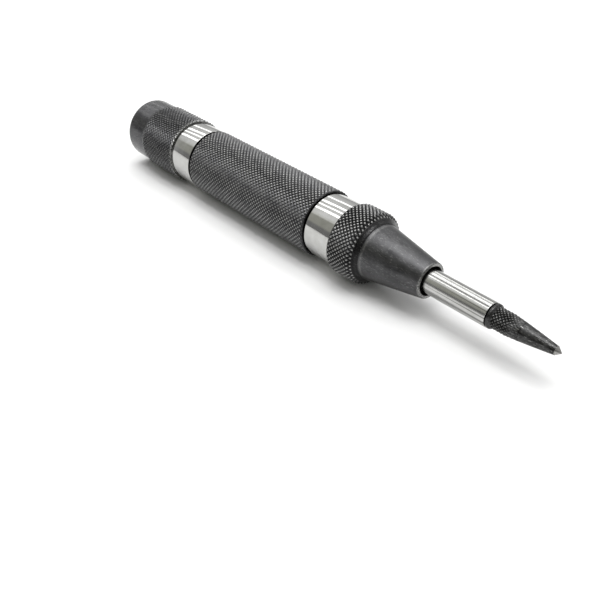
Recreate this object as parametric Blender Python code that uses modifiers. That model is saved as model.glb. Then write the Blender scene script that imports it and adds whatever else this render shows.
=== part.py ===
"""Automatic centre punch, modelled as its separate turned pieces and its two springs.

The tool lies on its side. +X runs along its axis towards the point, +Z is up, and the origin is
on the surface it lies on, halfway along its length. Every length is in metres.

A station is a distance along the axis, counted from the rear edge of the barrel.
"""

import math

import bmesh
import bpy

# Round work
FACETS = 48
SMALL_FACETS = 32
MERGE_DISTANCE = 0.00001

# Clearances
SEAT_GAP = 0.0003
SLIDE_CLEARANCE = 0.0002
THREAD_CLEARANCE = 0.0002
EDGE_CHAMFER = 0.0004
EDGE_ROUND = 0.0006

# Barrel, the knurled grip between the cap and the nose
BARREL_LENGTH = 0.0489
BARREL_RADIUS = 0.0090
NOSE_BORE_DEPTH = 0.0147

# Adjusting cap: a plain tail, a knurled grip and a bright land beside the barrel
CAP_GAP = 0.0004
CAP_TAIL_LENGTH = 0.0079
CAP_TAIL_RADIUS = 0.0089
CAP_GRIP_LENGTH = 0.0157
GRIP_RADIUS = 0.0094
CAP_LAND_LENGTH = 0.0087
CAP_LAND_RADIUS = 0.0088
CAP_END_WALL = 0.0037
CAP_BORE_RADIUS = 0.0056
SPIGOT_WALL = 0.0013
CHAMBER_STEP = 0.0007
CAP_RAMP = 0.0012
CAP_GRIP_CHAMFER = 0.0006

# Hammer and its stroke
STROKE = 0.0085
HAMMER_LENGTH = 0.0150
HAMMER_REST_GAP = 0.0012
HAMMER_HOLE_CLEARANCE = 0.00045
HAMMER_END_WALL = 0.0030
HAMMER_TO_CAP = 0.0010
HAMMER_PILOT_LENGTH = 0.0030

# Spring seat and main spring
SEAT_DISC_LENGTH = 0.0027
SEAT_STUD_LENGTH = 0.0040
MAIN_WIRE_RADIUS = 0.0008
MAIN_SPRING_PITCH = 0.0034

# Trip bush, trip pin and trip spring
BUSH_LENGTH = 0.0062
BUSH_LAND = 0.0020
BUSH_MOUTH_RADIUS = 0.0044
PIN_TIP_RADIUS = 0.00175
PIN_SHANK_RADIUS = 0.0025
PIN_TAPER_LENGTH = 0.0010
PIN_GUIDE_CLEARANCE = 0.0004
PIN_FLANGE_CLEARANCE = 0.0007
PIN_FLANGE_LENGTH = 0.0020
PIN_FOOT_RADIUS = 0.0020
PIN_FOOT_LENGTH = 0.0014
PIN_LEAN_CLEARANCE = 0.0001
TRIP_WIRE_RADIUS = 0.0003
TRIP_SPRING_PITCH = 0.0023

# Nose piece: a bright land, a knurled collar and a long cone
NOSE_LAND_LENGTH = 0.00945
NOSE_LAND_RADIUS = 0.0084
COLLAR_LENGTH = 0.00665
COLLAR_CHAMFER_LENGTH = 0.0011
COLLAR_FACE_RADIUS = 0.00837
COLLAR_FACE_LENGTH = 0.0013
CONE_ROOT_RADIUS = 0.00724
CONE_LENGTH = 0.0165
RIM_WALL = 0.00075
NOSE_CHAMBER_RADIUS = 0.0050
MOUTH_DEPTH = 0.0020
MOUTH_CLEARANCE = 0.0007

# Spindle
HEAD_LENGTH = 0.0069
ROD_RADIUS = 0.00305
ROD_LENGTH = 0.0353
SOCKET_CLEARANCE = 0.0005
SOCKET_DEPTH = 0.0022

# Punch point, screwed into the spindle
POINT_SHANK_RADIUS = 0.0015
POINT_SHANK_LENGTH = 0.0085
POINT_SHOULDER_LENGTH = 0.00115
POINT_SHOULDER_STEP = 0.00005
POINT_BASE_RADIUS = 0.0026
POINT_BASE_LENGTH = 0.0033
POINT_STEM_LENGTH = 0.0117
POINT_STEM_RADIUS = 0.00107
POINT_WAIST_RADIUS = 0.00183
POINT_TIP_LENGTH = 0.0013

# Stations that follow from the sizes above
CAP_FRONT = -CAP_GAP
CAP_LAND_REAR = CAP_FRONT - CAP_LAND_LENGTH
CAP_GRIP_REAR = CAP_LAND_REAR - CAP_GRIP_LENGTH
CAP_REAR = CAP_GRIP_REAR - CAP_TAIL_LENGTH
CAP_BORE_END = CAP_REAR + CAP_END_WALL

HAMMER_CHAMBER_RADIUS = CAP_BORE_RADIUS + CHAMBER_STEP
END_BORE_RADIUS = CAP_BORE_RADIUS + SPIGOT_WALL + THREAD_CLEARANCE
THREAD_RADIUS = END_BORE_RADIUS - THREAD_CLEARANCE

SHOULDER = BARREL_LENGTH - NOSE_BORE_DEPTH
HAMMER_FRONT = SHOULDER - HAMMER_REST_GAP
HAMMER_REAR = HAMMER_FRONT - HAMMER_LENGTH
SPIGOT_END = HAMMER_REAR - STROKE - HAMMER_TO_CAP
CHAMBER_REAR = SPIGOT_END + HAMMER_TO_CAP + EDGE_CHAMFER

BUSH_REAR = SHOULDER + SEAT_GAP
BUSH_FRONT = BUSH_REAR + BUSH_LENGTH
NOSE_REAR = BUSH_FRONT + SEAT_GAP
NOSE_LAND_REAR = BARREL_LENGTH + SEAT_GAP
COLLAR_REAR = BARREL_LENGTH + NOSE_LAND_LENGTH
COLLAR_FRONT = COLLAR_REAR + COLLAR_LENGTH
COLLAR_FACE = COLLAR_FRONT + COLLAR_CHAMFER_LENGTH
CONE_ROOT = COLLAR_FACE + COLLAR_FACE_LENGTH
NOSE_FRONT = CONE_ROOT + CONE_LENGTH
MOUTH_RADIUS = ROD_RADIUS + MOUTH_CLEARANCE
CONE_END_RADIUS = MOUTH_RADIUS + RIM_WALL

HEAD_FRONT = COLLAR_FACE + SEAT_GAP / 2
NOSE_SHOULDER = HEAD_FRONT + SEAT_GAP
HEAD_REAR = HEAD_FRONT - HEAD_LENGTH
ROD_FRONT = HEAD_FRONT + ROD_LENGTH

PIVOT = HEAD_REAR - SEAT_GAP
FLANGE_REAR = PIVOT - PIN_FLANGE_LENGTH
PIN_REAR = HAMMER_FRONT + SEAT_GAP
PIN_SHANK_REAR = BUSH_REAR + STROKE - PIN_TAPER_LENGTH
PIN_HOLE_RADIUS = PIN_SHANK_RADIUS + PIN_GUIDE_CLEARANCE
PIN_LEAN = PIN_HOLE_RADIUS - PIN_TIP_RADIUS - PIN_LEAN_CLEARANCE
PIN_FLANGE_RADIUS = NOSE_CHAMBER_RADIUS - PIN_FLANGE_CLEARANCE
HAMMER_HOLE_RADIUS = PIN_TIP_RADIUS + HAMMER_HOLE_CLEARANCE
PIN_TILT = math.asin(PIN_LEAN / (PIVOT - PIN_REAR))

SPRING_SEAT_REAR = CAP_BORE_END + SEAT_GAP
SPRING_SEAT_FRONT = SPRING_SEAT_REAR + SEAT_DISC_LENGTH
SPRING_SEAT_RADIUS = CAP_BORE_RADIUS - SLIDE_CLEARANCE
MAIN_SPRING_RADIUS = CAP_BORE_RADIUS - 2 * SLIDE_CLEARANCE - MAIN_WIRE_RADIUS
PILOT_RADIUS = MAIN_SPRING_RADIUS - MAIN_WIRE_RADIUS - 2 * SLIDE_CLEARANCE
TRIP_SPRING_WIDE = NOSE_CHAMBER_RADIUS - SLIDE_CLEARANCE - TRIP_WIRE_RADIUS
TRIP_SPRING_NARROW = PIN_SHANK_RADIUS + 2 * SLIDE_CLEARANCE + TRIP_WIRE_RADIUS

POINT_REAR = ROD_FRONT + SEAT_GAP
POINT_SHANK_REAR = POINT_REAR - POINT_SHANK_LENGTH
POINT_HOLE_END = POINT_SHANK_REAR - SEAT_GAP
POINT_NECK = POINT_REAR + POINT_SHOULDER_LENGTH
POINT_BASE_FRONT = POINT_NECK + POINT_BASE_LENGTH
POINT_GROUND = POINT_BASE_FRONT + POINT_STEM_LENGTH
POINT_TIP = POINT_GROUND + POINT_TIP_LENGTH
POINT_SHOULDER_RADIUS = ROD_RADIUS - POINT_SHOULDER_STEP

WIDEST_RADIUS = max(GRIP_RADIUS, BARREL_RADIUS, CAP_TAIL_RADIUS, CAP_LAND_RADIUS, NOSE_LAND_RADIUS)
AXIS_HEIGHT = WIDEST_RADIUS * math.cos(math.pi / FACETS)
BARREL_REAR_X = -(CAP_REAR + POINT_TIP) / 2

# Finishes: linear colour, metallic, roughness
BLACK_STEEL = ((0.045, 0.045, 0.05), 0.85, 0.42)
BRIGHT_STEEL = ((0.62, 0.61, 0.58), 1.0, 0.16)
GROUND_STEEL = ((0.42, 0.42, 0.41), 1.0, 0.30)
SPRING_STEEL = ((0.20, 0.20, 0.22), 1.0, 0.35)


def clear_scene():
    """Removes every object of the startup scene."""
    for obj in list(bpy.data.objects):
        bpy.data.objects.remove(obj, do_unlink=True)


def make_material(name, finish):
    """Returns a Principled material with the finish's colour, metallic value and roughness."""
    colour, metallic, roughness = finish
    material = bpy.data.materials.new(name)
    material.use_nodes = True
    shader = material.node_tree.nodes["Principled BSDF"]
    shader.inputs["Base Color"].default_value = (*colour, 1.0)
    shader.inputs["Metallic"].default_value = metallic
    shader.inputs["Roughness"].default_value = roughness
    return material


def make_empty(name, collection, parent=None, location=(0, 0, 0), rotation=(0, 0, 0)):
    """Returns an empty that carries the pieces on one axis."""
    empty = bpy.data.objects.new(name, None)
    empty.location = location
    empty.rotation_euler = rotation
    empty.parent = parent
    collection.objects.link(empty)
    return empty


def chamfered(station, radius, before, after, size=EDGE_CHAMFER):
    """Returns the two profile points of an edge chamfer.

    before and after are the directions, as (along, outward), from the edge to the neighbours.
    """
    first = (station + before[0] * size, radius + before[1] * size)
    last = (station + after[0] * size, radius + after[1] * size)
    return [first, last]


def rounded_rear_edge(station, radius, size, steps=4):
    """Returns the arc from the outer side round to the rear face, as profile points."""
    points = []
    for step in range(steps + 1):
        angle = math.pi / 2 * step / steps
        along = station + size * (1 - math.sin(angle))
        outward = radius - size * (1 - math.cos(angle))
        points.append((along, outward))
    return points


def turn(name, profile, finish, collection, parent, closed=False, facets=FACETS):
    """Turns a profile about the axis.

    The profile is a list of (station, radius) that runs from the front to the rear on the outer
    side. A closed profile is a ring, and an open one starts and ends on the axis.
    """
    work = bmesh.new()
    corners = [work.verts.new((radius, 0.0, station)) for station, radius in profile]
    for first, second in zip(corners, corners[1:]):
        work.edges.new((first, second))
    if closed:
        work.edges.new((corners[-1], corners[0]))
    mesh = bpy.data.meshes.new(name)
    work.to_mesh(mesh)
    work.free()
    piece = bpy.data.objects.new(name, mesh)
    collection.objects.link(piece)
    piece.parent = parent
    piece.rotation_euler = (0.0, 0.0, math.pi / facets)
    screw = piece.modifiers.new("turning", "SCREW")
    screw.axis = "Z"
    screw.angle = 2 * math.pi
    screw.steps = facets
    screw.render_steps = facets
    screw.use_merge_vertices = True
    screw.merge_threshold = MERGE_DISTANCE
    screw.use_smooth_shade = False
    mesh.materials.append(make_material(name, finish))
    return piece


def wind(name, path, wire_radius, finish, collection, parent):
    """Makes a wire along the path, a list of points in the parent's own space."""
    curve = bpy.data.curves.new(name, "CURVE")
    curve.dimensions = "3D"
    curve.bevel_depth = wire_radius
    curve.bevel_resolution = 2
    curve.use_fill_caps = True
    spline = curve.splines.new("POLY")
    spline.points.add(len(path) - 1)
    for point, place in zip(spline.points, path):
        point.co = (*place, 1.0)
    curve.materials.append(make_material(name, finish))
    spring = bpy.data.objects.new(name, curve)
    spring.parent = parent
    collection.objects.link(spring)
    return spring


def coil_path(start, end, start_radius, end_radius, wire_radius, pitch, points_per_turn=12):
    """Returns the path of a compression spring with one closed turn at each end.

    start and end are the stations of the wire's centre at the two ends.
    """
    closed_pitch = 2.2 * wire_radius
    open_length = (end - start) - 2 * closed_pitch
    open_turns = max(2, round(open_length / pitch))
    turns = open_turns + 2
    path = []
    for index in range(turns * points_per_turn + 1):
        turn_number = index / points_per_turn
        if turn_number <= 1:
            station = start + closed_pitch * turn_number
        elif turn_number >= turns - 1:
            station = end - closed_pitch * (turns - turn_number)
        else:
            station = start + closed_pitch + open_length * (turn_number - 1) / open_turns
        radius = start_radius + (end_radius - start_radius) * turn_number / turns
        angle = 2 * math.pi * turn_number
        path.append((radius * math.cos(angle), radius * math.sin(angle), station))
    return path


def make_barrel(collection, axis):
    """The grip: bored from both ends, with the hammer's chamber between the two threads."""
    profile = chamfered(BARREL_LENGTH, BARREL_RADIUS, (0, -1), (-1, 0))
    profile += chamfered(0.0, BARREL_RADIUS, (1, 0), (0, -1))
    profile += chamfered(0.0, END_BORE_RADIUS, (0, 1), (1, 0))
    profile += [(CHAMBER_REAR, END_BORE_RADIUS), (CHAMBER_REAR, HAMMER_CHAMBER_RADIUS)]
    profile += [(SHOULDER, HAMMER_CHAMBER_RADIUS), (SHOULDER, END_BORE_RADIUS)]
    profile += [(BARREL_LENGTH, END_BORE_RADIUS)]
    turn("barrel", profile, BLACK_STEEL, collection, axis, closed=True)


def make_cap(collection, axis):
    """The adjusting cap, hollow for the main spring, with its male thread inside the barrel."""
    profile = [(CAP_BORE_END, 0.0), (CAP_BORE_END, CAP_BORE_RADIUS)]
    profile += [(SPIGOT_END, CAP_BORE_RADIUS)]
    profile += chamfered(SPIGOT_END, THREAD_RADIUS, (0, -1), (-1, 0))
    profile += [(CAP_FRONT, THREAD_RADIUS)]
    profile += chamfered(CAP_FRONT, CAP_LAND_RADIUS, (0, -1), (-1, 0))
    profile += [(CAP_LAND_REAR, CAP_LAND_RADIUS)]
    profile += [(CAP_LAND_REAR - CAP_GRIP_CHAMFER, GRIP_RADIUS)]
    profile += [(CAP_GRIP_REAR + CAP_RAMP, GRIP_RADIUS)]
    profile += [(CAP_GRIP_REAR, CAP_TAIL_RADIUS)]
    profile += rounded_rear_edge(CAP_REAR, CAP_TAIL_RADIUS, EDGE_ROUND)
    profile += [(CAP_REAR, 0.0)]
    turn("adjusting_cap", profile, BLACK_STEEL, collection, axis)


def make_spring_seat(collection, axis):
    """The disc and stud that carry the rear of the main spring, so that the cap turns freely."""
    stud_front = SPRING_SEAT_FRONT + SEAT_STUD_LENGTH
    profile = [(stud_front, 0.0)]
    profile += chamfered(stud_front, PILOT_RADIUS, (0, -1), (-1, 0))
    profile += [(SPRING_SEAT_FRONT, PILOT_RADIUS), (SPRING_SEAT_FRONT, SPRING_SEAT_RADIUS)]
    profile += chamfered(SPRING_SEAT_REAR, SPRING_SEAT_RADIUS, (1, 0), (0, -1))
    profile += [(SPRING_SEAT_REAR, 0.0)]
    turn("spring_seat", profile, GROUND_STEEL, collection, axis)


def make_hammer(collection, axis):
    """The striking weight, with a blind hole that drops over the trip pin's tip."""
    radius = HAMMER_CHAMBER_RADIUS - SLIDE_CLEARANCE
    hole_end = HAMMER_REAR + HAMMER_END_WALL
    pilot_rear = HAMMER_REAR - HAMMER_PILOT_LENGTH
    profile = [(hole_end, 0.0), (hole_end, HAMMER_HOLE_RADIUS)]
    profile += [(HAMMER_FRONT, HAMMER_HOLE_RADIUS)]
    profile += chamfered(HAMMER_FRONT, radius, (0, -1), (-1, 0))
    profile += chamfered(HAMMER_REAR, radius, (1, 0), (0, -1))
    profile += [(HAMMER_REAR, PILOT_RADIUS)]
    profile += chamfered(pilot_rear, PILOT_RADIUS, (1, 0), (0, -1))
    profile += [(pilot_rear, 0.0)]
    turn("hammer", profile, GROUND_STEEL, collection, axis)


def make_main_spring(collection, axis):
    """The heavy spring between the seat in the cap and the hammer."""
    start = SPRING_SEAT_FRONT + SEAT_GAP + MAIN_WIRE_RADIUS
    end = HAMMER_REAR - SEAT_GAP - MAIN_WIRE_RADIUS
    path = coil_path(
        start, end, MAIN_SPRING_RADIUS, MAIN_SPRING_RADIUS, MAIN_WIRE_RADIUS, MAIN_SPRING_PITCH
    )
    wind("main_spring", path, MAIN_WIRE_RADIUS, SPRING_STEEL, collection, axis)


def make_trip_bush(collection, axis):
    """The hardened bush in front of the hammer, whose cone brings the leaning pin to the centre."""
    profile = chamfered(BUSH_FRONT, THREAD_RADIUS, (0, -1), (-1, 0))
    profile += chamfered(BUSH_REAR, THREAD_RADIUS, (1, 0), (0, -1))
    profile += [(BUSH_REAR, PIN_HOLE_RADIUS), (BUSH_REAR + BUSH_LAND, PIN_HOLE_RADIUS)]
    profile += [(BUSH_FRONT, BUSH_MOUTH_RADIUS)]
    turn("trip_bush", profile, GROUND_STEEL, collection, axis, closed=True)


def make_trip_pin(collection, pivot):
    """The pin between the spindle and the hammer, modelled about its foot and leaning at rest."""
    taper_rear = PIN_SHANK_REAR - PIN_TAPER_LENGTH - PIVOT
    profile = [(PIN_FOOT_LENGTH, 0.0)]
    profile += chamfered(PIN_FOOT_LENGTH, PIN_FOOT_RADIUS, (0, -1), (-1, 0))
    profile += [(0.0, PIN_FOOT_RADIUS), (0.0, PIN_FLANGE_RADIUS)]
    profile += [(FLANGE_REAR - PIVOT, PIN_FLANGE_RADIUS), (FLANGE_REAR - PIVOT, PIN_SHANK_RADIUS)]
    profile += [(PIN_SHANK_REAR - PIVOT, PIN_SHANK_RADIUS), (taper_rear, PIN_TIP_RADIUS)]
    profile += [(PIN_REAR - PIVOT, PIN_TIP_RADIUS), (PIN_REAR - PIVOT, 0.0)]
    turn("trip_pin", profile, GROUND_STEEL, collection, pivot, facets=SMALL_FACETS)


def make_trip_spring(collection, axis):
    """The light conical spring that sends the spindle forward and leans the pin over."""
    flange_lift = PIN_FLANGE_RADIUS * math.sin(PIN_TILT)
    start = BUSH_FRONT + SEAT_GAP + TRIP_WIRE_RADIUS
    end = FLANGE_REAR - flange_lift - SEAT_GAP - TRIP_WIRE_RADIUS
    path = coil_path(
        start, end, TRIP_SPRING_WIDE, TRIP_SPRING_NARROW, TRIP_WIRE_RADIUS, TRIP_SPRING_PITCH
    )
    wind("trip_spring", path, TRIP_WIRE_RADIUS, SPRING_STEEL, collection, axis)


def make_nose(collection, axis):
    """The nose piece: thread, bright land, knurled collar, cone and the bore for the spindle."""
    bore_radius = ROD_RADIUS + SLIDE_CLEARANCE
    profile = [(NOSE_FRONT, MOUTH_RADIUS)]
    profile += chamfered(NOSE_FRONT, CONE_END_RADIUS, (0, -1), (-1, 0), EDGE_CHAMFER / 2)
    profile += [(CONE_ROOT, CONE_ROOT_RADIUS), (COLLAR_FACE, COLLAR_FACE_RADIUS)]
    profile += [(COLLAR_FRONT, GRIP_RADIUS), (COLLAR_REAR + EDGE_CHAMFER, GRIP_RADIUS)]
    profile += [(COLLAR_REAR, GRIP_RADIUS - EDGE_CHAMFER), (COLLAR_REAR, NOSE_LAND_RADIUS)]
    profile += [(NOSE_LAND_REAR, NOSE_LAND_RADIUS), (NOSE_LAND_REAR, THREAD_RADIUS)]
    profile += chamfered(NOSE_REAR, THREAD_RADIUS, (1, 0), (0, -1))
    profile += [(NOSE_REAR, NOSE_CHAMBER_RADIUS), (NOSE_SHOULDER, NOSE_CHAMBER_RADIUS)]
    profile += [(NOSE_SHOULDER, bore_radius), (NOSE_FRONT - MOUTH_DEPTH, bore_radius)]
    profile += [(NOSE_FRONT - MOUTH_DEPTH, MOUTH_RADIUS)]
    turn("nose_piece", profile, BLACK_STEEL, collection, axis, closed=True)


def make_spindle(collection, axis):
    """The sliding rod, with its head inside the nose and a threaded hole for the point."""
    head_radius = NOSE_CHAMBER_RADIUS - SLIDE_CLEARANCE
    hole_radius = POINT_SHANK_RADIUS + THREAD_CLEARANCE
    socket_radius = PIN_FOOT_RADIUS + SOCKET_CLEARANCE
    profile = [(POINT_HOLE_END, 0.0), (POINT_HOLE_END, hole_radius), (ROD_FRONT, hole_radius)]
    profile += chamfered(ROD_FRONT, ROD_RADIUS, (0, -1), (-1, 0), EDGE_CHAMFER / 2)
    profile += [(HEAD_FRONT, ROD_RADIUS)]
    profile += chamfered(HEAD_FRONT, head_radius, (0, -1), (-1, 0))
    profile += chamfered(HEAD_REAR, head_radius, (1, 0), (0, -1))
    profile += [(HEAD_REAR, socket_radius), (HEAD_REAR + SOCKET_DEPTH, socket_radius)]
    profile += [(HEAD_REAR + SOCKET_DEPTH, 0.0)]
    turn("spindle", profile, BRIGHT_STEEL, collection, axis)


def make_point(collection, axis):
    """The replaceable punch point: shoulder, gripping base, tapering stem and ground tip."""
    waist = (POINT_BASE_FRONT + POINT_GROUND) / 2
    profile = [(POINT_TIP, 0.0), (POINT_GROUND, POINT_STEM_RADIUS)]
    profile += [(waist, POINT_WAIST_RADIUS), (POINT_BASE_FRONT, POINT_BASE_RADIUS)]
    profile += [(POINT_NECK, POINT_BASE_RADIUS)]
    profile += chamfered(POINT_NECK, POINT_SHOULDER_RADIUS, (0, -1), (-1, 0), EDGE_CHAMFER / 2)
    profile += [(POINT_REAR, POINT_SHOULDER_RADIUS), (POINT_REAR, POINT_SHANK_RADIUS)]
    profile += [(POINT_SHANK_REAR, POINT_SHANK_RADIUS), (POINT_SHANK_REAR, 0.0)]
    turn("punch_point", profile, BLACK_STEEL, collection, axis, facets=SMALL_FACETS)


def main():
    """Builds the whole punch at rest: point out and cap screwed fully home."""
    clear_scene()
    collection = bpy.data.collections.new("center_punch")
    bpy.context.scene.collection.children.link(collection)
    along_x = (0.0, math.pi / 2, 0.0)
    axis = make_empty("punch_axis", collection, None, (BARREL_REAR_X, 0, AXIS_HEIGHT), along_x)
    pivot = make_empty("pin_pivot", collection, axis, (0, 0, PIVOT), (0, PIN_TILT, 0))
    make_barrel(collection, axis)
    make_cap(collection, axis)
    make_spring_seat(collection, axis)
    make_main_spring(collection, axis)
    make_hammer(collection, axis)
    make_trip_bush(collection, axis)
    make_trip_pin(collection, pivot)
    make_trip_spring(collection, axis)
    make_nose(collection, axis)
    make_spindle(collection, axis)
    make_point(collection, axis)


main()
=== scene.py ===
"""Automatic centre punch: the finished surfaces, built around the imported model.

The tool lies along +X with its point forward. Every length below is in metres unless its name
ends in _mm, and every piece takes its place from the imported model's own boxes.
"""

from __future__ import annotations

import logging
import math
from dataclasses import dataclass, field
from enum import Enum
from functools import partial
from typing import Any, Callable, Sequence

import bmesh
import bpy
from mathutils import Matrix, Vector

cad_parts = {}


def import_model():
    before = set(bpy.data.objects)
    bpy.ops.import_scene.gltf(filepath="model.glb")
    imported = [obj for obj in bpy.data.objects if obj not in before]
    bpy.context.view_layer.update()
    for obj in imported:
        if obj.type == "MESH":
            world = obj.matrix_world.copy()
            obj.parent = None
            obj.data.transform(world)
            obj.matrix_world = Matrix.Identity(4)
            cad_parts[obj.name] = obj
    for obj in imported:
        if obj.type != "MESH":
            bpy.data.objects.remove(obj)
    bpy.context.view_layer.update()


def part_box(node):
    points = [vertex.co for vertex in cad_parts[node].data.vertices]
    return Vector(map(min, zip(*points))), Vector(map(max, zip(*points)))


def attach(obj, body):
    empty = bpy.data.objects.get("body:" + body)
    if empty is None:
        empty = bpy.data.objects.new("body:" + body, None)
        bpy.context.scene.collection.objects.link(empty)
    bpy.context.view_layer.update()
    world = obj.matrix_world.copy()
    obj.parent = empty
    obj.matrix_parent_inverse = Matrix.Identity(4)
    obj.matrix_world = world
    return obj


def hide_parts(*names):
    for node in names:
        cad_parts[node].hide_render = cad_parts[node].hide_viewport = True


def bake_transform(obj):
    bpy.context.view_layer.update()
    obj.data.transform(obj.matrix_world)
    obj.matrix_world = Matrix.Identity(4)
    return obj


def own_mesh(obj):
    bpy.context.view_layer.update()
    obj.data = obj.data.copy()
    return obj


LOG = logging.getLogger("centre_punch")

MM = 0.001
KNURL_ATTRIBUTE = "knurl_zone"
THREAD_ATTRIBUTE = "thread_zone"
CREST_ATTRIBUTE = "crest"
NEUTRAL_HEIGHT = 0.6

# Faces round the axis of a smooth piece, of a bright land and of an inner piece.
SMOOTH_SEGMENTS = 144
LAND_SEGMENTS = 192
INNER_SEGMENTS = 96
THREAD_STEPS = 6
SHARP_ANGLE = math.radians(28)
WIRE_SHARP_ANGLE = math.radians(50)

# Steps too small to see, which keep neighbouring rings and pieces from lying in one plane.
SEAM = 0.01 * MM
TIP_SEAM = 0.005 * MM
KNURL_STEP = 0.02 * MM
ROOT_STEP = 0.05 * MM

# How far a bright land's bore is clear of the undercut inside it, in mm.
SLEEVE_GAP_MM = 0.02

# A radius that no grip reaches, so that a chamfer to it cuts nothing.
NO_CHAMFER = 1.0

# How much of a profile's shorter arm a fillet may take up.
MOST_OF_ARM = 0.45

# The distance between closed turns of a spring, in wire radii.
CLOSED_PITCH = 2.12


class Body(str, Enum):
    """The rigid bodies that the pieces below move with."""

    BARREL = "barrel"
    SPINDLE = "spindle"
    HAMMER = "hammer"
    SPRING_SEAT = "spring_seat"
    CAP = "cap"


class Slot(str, Enum):
    """The record's material slots."""

    CAP = "cap_black_oxide"
    BARREL = "barrel_black_oxide"
    NOSE = "nose_black_oxide"
    BRIGHT = "bright_plate"
    POINT = "point_black_oxide"
    INNER = "inner_steel"
    SPRING = "spring_wire"


class Zone(Enum):
    """How the rings of a turned surface are worked after turning."""

    PLAIN = "plain"
    KNURLED = KNURL_ATTRIBUTE
    THREADED = THREAD_ATTRIBUTE


class Kind(str, Enum):
    """The kinds of node in the trees below."""

    ATTRIBUTE = "ShaderNodeAttribute"
    BACKGROUND = "ShaderNodeBackground"
    BUMP = "ShaderNodeBump"
    COMBINE = "ShaderNodeCombineXYZ"
    COORDINATES = "ShaderNodeTexCoord"
    FACETS = "GeometryNodeTriangulate"
    LIGHT_PATH = "ShaderNodeLightPath"
    MAPPING = "ShaderNodeMapping"
    MAP_RANGE = "ShaderNodeMapRange"
    MATH = "ShaderNodeMath"
    MIX = "ShaderNodeMix"
    NAMED_ATTRIBUTE = "GeometryNodeInputNamedAttribute"
    NOISE = "ShaderNodeTexNoise"
    POSITION = "GeometryNodeInputPosition"
    RAMP = "ShaderNodeValToRGB"
    REALIZE = "GeometryNodeRealizeInstances"
    SEPARATE = "ShaderNodeSeparateXYZ"
    SET_MATERIAL = "GeometryNodeSetMaterial"
    SET_POSITION = "GeometryNodeSetPosition"
    SHADE_SMOOTH = "GeometryNodeSetShadeSmooth"
    STORE_ATTRIBUTE = "GeometryNodeStoreNamedAttribute"
    TREE_INPUT = "NodeGroupInput"
    TREE_OUTPUT = "NodeGroupOutput"


# ---------------------------------------------------------------------------------------------
# Small tools


def linear_colour(hex_colour: str) -> tuple[float, float, float, float]:
    """Turn an sRGB hex value into a linear colour.

    Args:
        hex_colour: Six hex digits with a leading hash.

    Returns:
        The linear red, green, blue and an alpha of one.
    """
    channels = [int(hex_colour[i : i + 2], 16) / 255 for i in (1, 3, 5)]
    linear = [c / 12.92 if c <= 0.04045 else ((c + 0.055) / 1.055) ** 2.4 for c in channels]
    return (linear[0], linear[1], linear[2], 1.0)


def add_node(
    tree: bpy.types.NodeTree, kind: Kind, inputs: Sequence[Any] | dict[str, Any] = (), **settings: Any
) -> bpy.types.Node:
    """Add a node to a tree with its settings, values and links.

    Args:
        tree: The shader or geometry tree.
        kind: The kind of node.
        inputs: Values, sockets or nodes for the inputs in use, in their order or by name. A
            node stands for the first output that it has in use.
        **settings: The node's own properties.

    Returns:
        The new node.
    """
    node = tree.nodes.new(kind.value)
    for name, value in settings.items():
        setattr(node, name, value)
    if isinstance(inputs, dict):
        pairs = [(node.inputs[name], value) for name, value in inputs.items()]
    else:
        pairs = list(zip([socket for socket in node.inputs if socket.enabled], inputs))
    for socket, value in pairs:
        if isinstance(value, bpy.types.Node):
            value = next(output for output in value.outputs if output.enabled)
        if isinstance(value, bpy.types.NodeSocket):
            tree.links.new(value, socket)
        else:
            socket.default_value = value
    return node


def link_object(name: str, data: bpy.types.ID) -> bpy.types.Object:
    """Make an object for some data and put it in the scene."""
    made = bpy.data.objects.new(name, data)
    bpy.context.scene.collection.objects.link(made)
    return made


def bake_modifiers(piece: bpy.types.Object) -> None:
    """Replace a piece's data with its evaluated mesh and drop its modifiers."""
    graph = bpy.context.evaluated_depsgraph_get()
    mesh = bpy.data.meshes.new_from_object(piece.evaluated_get(graph))
    mesh.name = piece.name
    piece.modifiers.clear()
    piece.data = mesh


# ---------------------------------------------------------------------------------------------
# Turned shapes


@dataclass(frozen=True)
class Ring:
    """One circle of a turned surface.

    Args:
        x: The place along the tool.
        radius: The distance from the tool's axis.
        zone: How the surface is worked there.
    """

    x: float
    radius: float
    zone: Zone = Zone.PLAIN


@dataclass(frozen=True)
class Corner:
    """A corner of a turned profile, with the radius that rounds it off."""

    x: float
    radius: float
    fillet: float = 0.0


def rounded(corners: Sequence[Corner | Ring], closed: bool = False, steps: int = 5) -> list[Ring]:
    """Round the corners of a profile.

    Args:
        corners: The profile in order. A Ring is kept as it is.
        closed: Whether the last corner joins the first.
        steps: The number of faces in each rounded corner.

    Returns:
        The rings of the rounded profile.
    """
    rings: list[Ring] = []
    count = len(corners)
    for index, corner in enumerate(corners):
        at_end = not closed and index in (0, count - 1)
        if isinstance(corner, Ring):
            rings.append(corner)
            continue
        if at_end or corner.fillet <= 0:
            rings.append(Ring(corner.x, corner.radius))
            continue
        here = Vector((corner.x, corner.radius))
        before = corners[index - 1]
        after = corners[(index + 1) % count]
        arm_in = Vector((before.x, before.radius)) - here
        arm_out = Vector((after.x, after.radius)) - here
        reach = min(corner.fillet, MOST_OF_ARM * arm_in.length, MOST_OF_ARM * arm_out.length)
        first = here + arm_in.normalized() * reach
        last = here + arm_out.normalized() * reach
        for step in range(steps + 1):
            t = step / steps
            point = first * (1 - t) ** 2 + here * 2 * t * (1 - t) + last * t**2
            rings.append(Ring(point.x, point.y))
    return rings


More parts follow.
